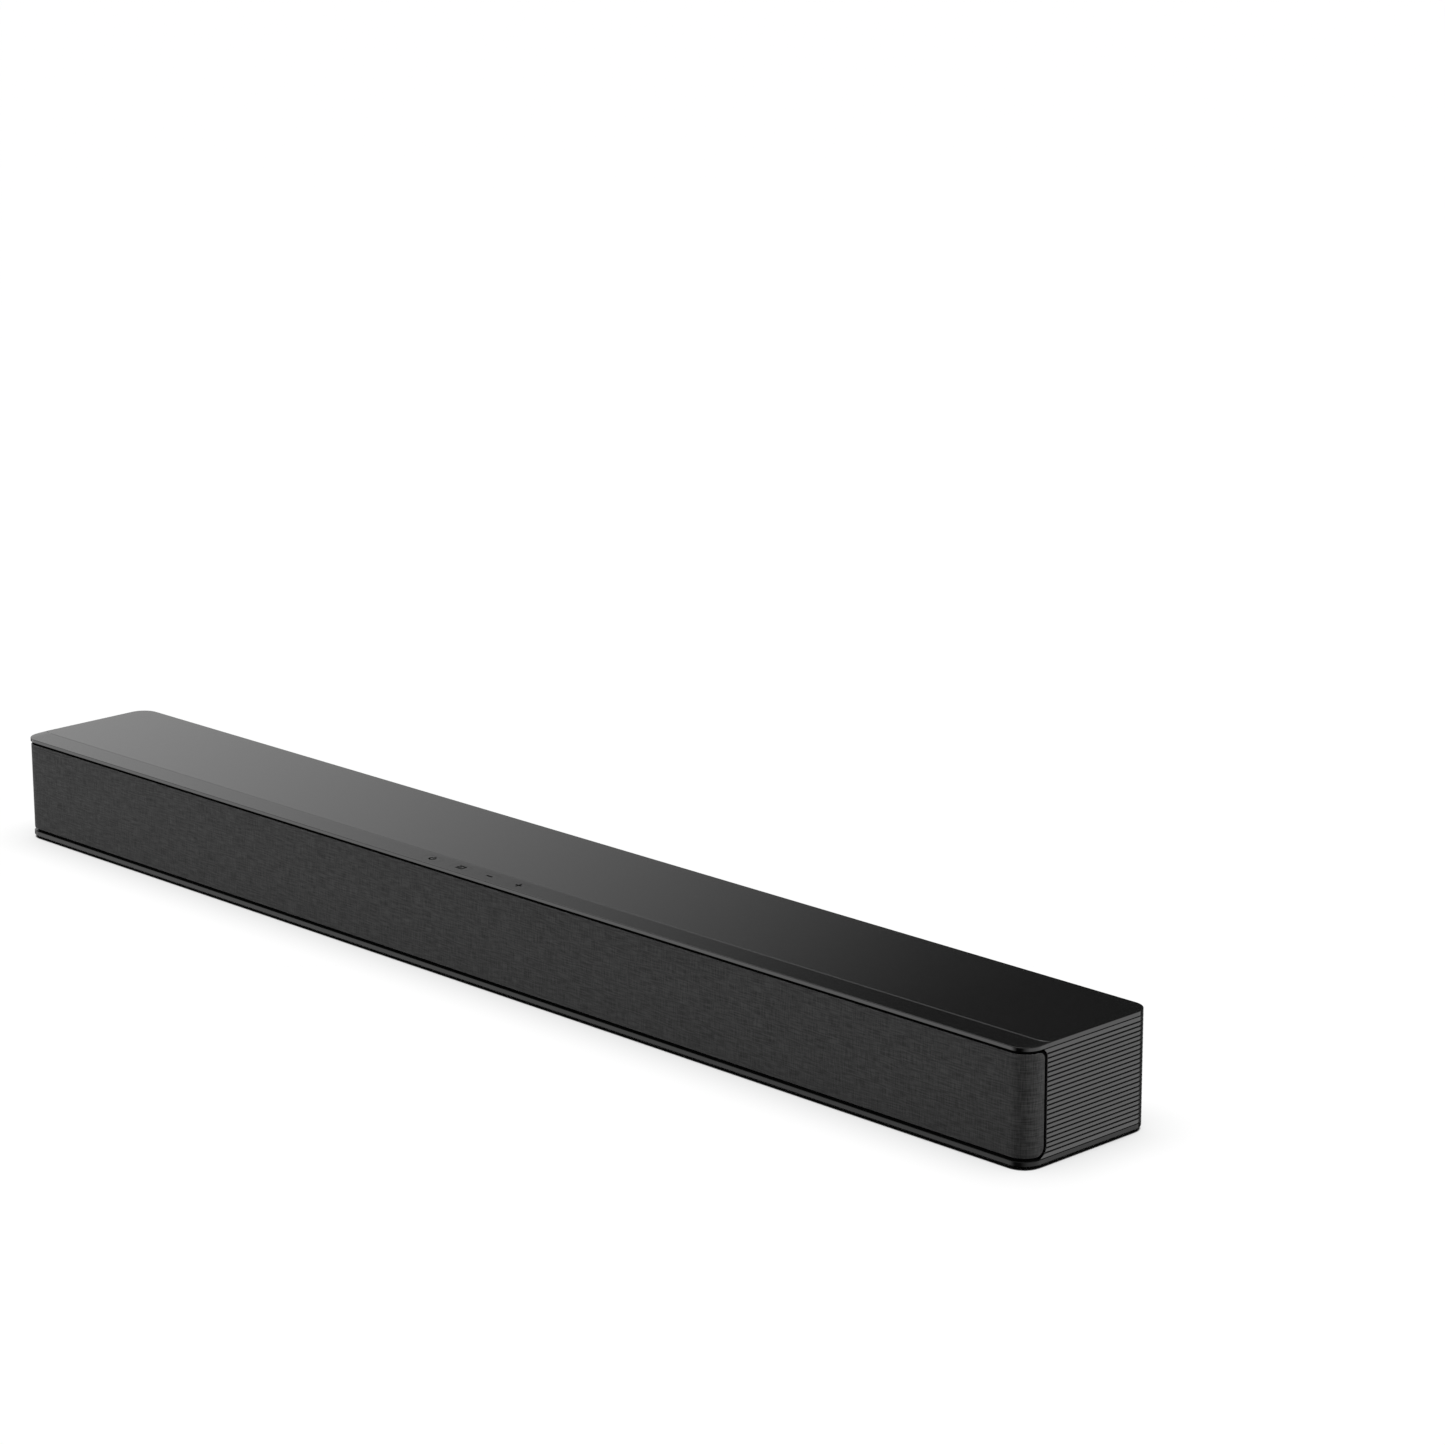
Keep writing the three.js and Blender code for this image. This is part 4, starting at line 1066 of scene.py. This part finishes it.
CAMERA_PLACE = Vector((1.68175, -1.48231, 0.73044))
CAMERA_AZIMUTH = 45.93
CAMERA_FALL = 14.873
CAMERA_ROLL = -0.266
CAMERA_LENS = 108.36  # on a 36 mm frame


def make_camera():
    """The photograph's camera, as fitted to the bar's outline."""
    data = bpy.data.cameras.new("camera")
    data.lens = CAMERA_LENS
    data.sensor_width = 36
    data.clip_start = 0.05
    data.clip_end = 100
    camera = bpy.data.objects.new("camera", data)
    azimuth, fall = math.radians(CAMERA_AZIMUTH), math.radians(CAMERA_FALL)
    level = math.cos(fall)
    forward = Vector((-math.sin(azimuth) * level, math.cos(azimuth) * level, -math.sin(fall)))
    turn = forward.to_track_quat("-Z", "Y") @ Quaternion((0, 0, 1), math.radians(CAMERA_ROLL))
    camera.rotation_mode = "QUATERNION"
    camera.rotation_quaternion = turn
    camera.location = CAMERA_PLACE
    bpy.context.scene.collection.objects.link(camera)
    bpy.context.scene.camera = camera


def softbox(name, bearing, rise, distance, size, radiance):
    """A rectangular area light that looks at the bar. Bearings run from the front towards the right."""
    around, up = math.radians(bearing), math.radians(rise)
    out = Vector((math.sin(around) * math.cos(up), -math.cos(around) * math.cos(up), math.sin(up)))
    data = bpy.data.lights.new(name, "AREA")
    data.shape = "RECTANGLE"
    data.size, data.size_y = size
    data.energy = radiance * math.pi * size[0] * size[1]
    light = bpy.data.objects.new(name, data)
    light.location = out * distance
    light.rotation_mode = "QUATERNION"
    light.rotation_quaternion = (-out).to_track_quat("-Z", "Y")
    light.visible_camera = False
    light.visible_glossy = False
    bpy.context.scene.collection.objects.link(light)


FLOOR_HALF = 30.0
FLOOR_SHADE = 0.006
SHADE_REACH = 0.032


def make_floor():
    """A pale floor that glows for the camera, with a painted contact shadow: its glow fades close round the
    bar, as it would under a large soft light.
    """
    bm = bmesh.new()
    for x, y in bar_outline(-FLOOR_HALF, -FLOOR_HALF, FLOOR_HALF, FLOOR_HALF):
        bm.verts.new((x, y, 0))
    bm.faces.new(bm.verts)
    mesh = bpy.data.meshes.new("floor")
    bm.to_mesh(mesh)
    bm.free()
    material, tree, shader = new_material("floor_paper")
    paper = noise_of(tree, object_place(tree), 400, detail=2)
    low, high = grey(FLOOR_SHADE * 0.98), grey(FLOOR_SHADE * 1.02)
    tree.links.new(ramp(tree, paper, 0.3, 0.7, low, high), shader.inputs["Base Color"])
    shader.inputs["Roughness"].default_value = 0.9
    shader.inputs["Specular IOR Level"].default_value = 0.0
    shader.inputs["Emission Color"].default_value = (1, 1, 1, 1)
    # Painted contact shadow: ambient occlusion dims the glow to black under the bar's edge and softly round
    # it.
    cover = add(tree, "ShaderNodeAmbientOcclusion", distance=SHADE_REACH, samples=16)
    painted_shadow_under = value_range(tree, cover.outputs["AO"], 0.36, 0.5, 0.0, 1.0)
    far = value_range(tree, cover.outputs["AO"], 0.4, 1.0, 0.76, 1.0)
    seen = add(tree, "ShaderNodeLightPath").outputs["Is Camera Ray"]
    glow = maths(tree, "MULTIPLY", painted_shadow_under, far)
    tree.links.new(maths(tree, "MULTIPLY", glow, seen), shader.inputs["Emission Strength"])
    mesh.materials.append(material)
    floor = bpy.data.objects.new("floor", mesh)
    bpy.context.scene.collection.objects.link(floor)
    floor.visible_glossy = False


# Soft cards that the glossy plastic reflects: bearing in degrees [starts, full, full, ends], then the
# same for the rise above the floor, the radiance at the first and last full bearing, and how far the
# card leans: degrees of bearing for each degree of rise.
CARDS = {
    "front_left": ((-88, -72, -32, -8), (-38, -26, -2, 9), (1.85, 1.76), 0),
    "right": ((26, 70, 150, 166), (-38, -26, -2, 9), (1.48, 1.6), 0),
    "rear_left": ((-152.9, -131.2, -100, -80), (5, 11, 35, 50), (1.35, 1.35), 0.87),
    "rear_low": ((-176, -160, -112, -90), (-38, -26, -4, 6), (0.5, 0.5), 0),
    "rear_high": ((-147, -125, -112, -85), (24, 29, 60, 80), (1.5, 1.8), 0),
    "haze": ((-180, -175, -110, -90), (0, 6, 15.5, 23), (0.034, 0.034), 0),
    "camera_side": ((-12, 14, 60, 78), (8, 16, 35, 50), (0.45, 0.45), 0),
    "behind": ((164, 176, 190, 191), (2, 10, 35, 50), (0.22, 0.22), 0),
    "ceiling": ((-2, -1, 181, 182), (36, 60, 95, 96), (0.6, 0.6), 0),
}


def card(tree, bearing, rise, spec):
    """Radiance of one card as seen in a direction."""
    (a0, a1, a2, a3), (r0, r1, r2, r3), (first, last), lean = spec
    if lean:
        bearing = maths(tree, "SUBTRACT", bearing, maths(tree, "MULTIPLY", rise, lean))
    parts = [
        value_range(tree, bearing, a0, a1, 0, 1), value_range(tree, bearing, a2, a3, 1, 0),
        value_range(tree, rise, r0, r1, 0, 1), value_range(tree, rise, r2, r3, 1, 0),
    ]
    radiance = value_range(tree, bearing, a1, a2, first, last)
    for part in parts:
        radiance = maths(tree, "MULTIPLY", radiance, part)
    return radiance


def make_world():
    """White where the camera sees past the floor, and soft cards round the bar for every other ray."""
    world = bpy.data.worlds.new("studio")
    world.use_nodes = True
    tree = world.node_tree
    place = add(tree, "ShaderNodeTexCoord")
    part = add(tree, "ShaderNodeSeparateXYZ")
    tree.links.new(place.outputs["Generated"], part.inputs[0])
    across, deep, up = part.outputs
    forward = maths(tree, "MULTIPLY", deep, -1)
    degree = 180 / math.pi
    bearing = maths(tree, "MULTIPLY", maths(tree, "ARCTAN2", across, forward), degree)
    away = maths(tree, "ABSOLUTE", bearing, 0)  # the same on both sides, for cards that cross the back
    rise = maths(tree, "MULTIPLY", maths(tree, "ARCSINE", up, 0), degree)
    total = 0
    for name, spec in CARDS.items():
        around = away if name in ("behind", "ceiling") else bearing
        total = maths(tree, "ADD", total, card(tree, around, rise, spec))
    seen = add(tree, "ShaderNodeLightPath").outputs["Is Camera Ray"]
    background = tree.nodes["Background"]
    background.inputs["Color"].default_value = (1, 1, 1, 1)
    tree.links.new(maths(tree, "MAXIMUM", total, seen), background.inputs["Strength"])
    world.cycles.sampling_method = "NONE"
    bpy.context.scene.world = world


# Bearing and rise in degrees, distance and size in metres, and radiance.
LIGHTS = {
    "overhead_light": (0, 88, 2.2, (2.6, 1.8), 0.6),
    "front_left_light": (-52, 18, 2.05, (1.0, 0.8), 13.2),
    "corner_light": (44, 16, 2.05, (1.0, 0.8), 5.4),
    "right_light": (118, 22, 2.1, (1.0, 0.8), 12.5),
    "rear_light": (165, 40, 2.4, (1.4, 1.0), 9.0),
}


# ---- Everything in place ----

make_camera()
make_floor()
make_world()
for name, spec in LIGHTS.items():
    softbox(name, *spec)

top_cover()
for key in KEY_NAMES:
    key_cap(key)
    key_symbol(key)
bottom_cover()
end_cap("left_end_cap", -1)
end_cap("right_end_cap", 1)
grille_cloth()
rear_panel()
socket_shell("hdmi", (2.4, 1.9), 10)
socket_tongue("hdmi", 5.4, 25.7, -1.1, 10, [i - 4.5 for i in range(10)], 0.45)
socket_shell("usb", (0.4, 0.4), 11)
socket_tongue("usb", 5.5, 25.2, 1.9, 11, [-3.5, -1.0, 1.0, 3.5], 1.0)
aux_ring()
inlet_pins()
for screw in SCREWS:
    cover_screw(screw)
for driver in DRIVERS:
    for part in DRIVER_FINISHES:
        driver_piece(driver, part)
dress_nodes()

bpy.context.scene.view_settings.view_transform = "Standard"
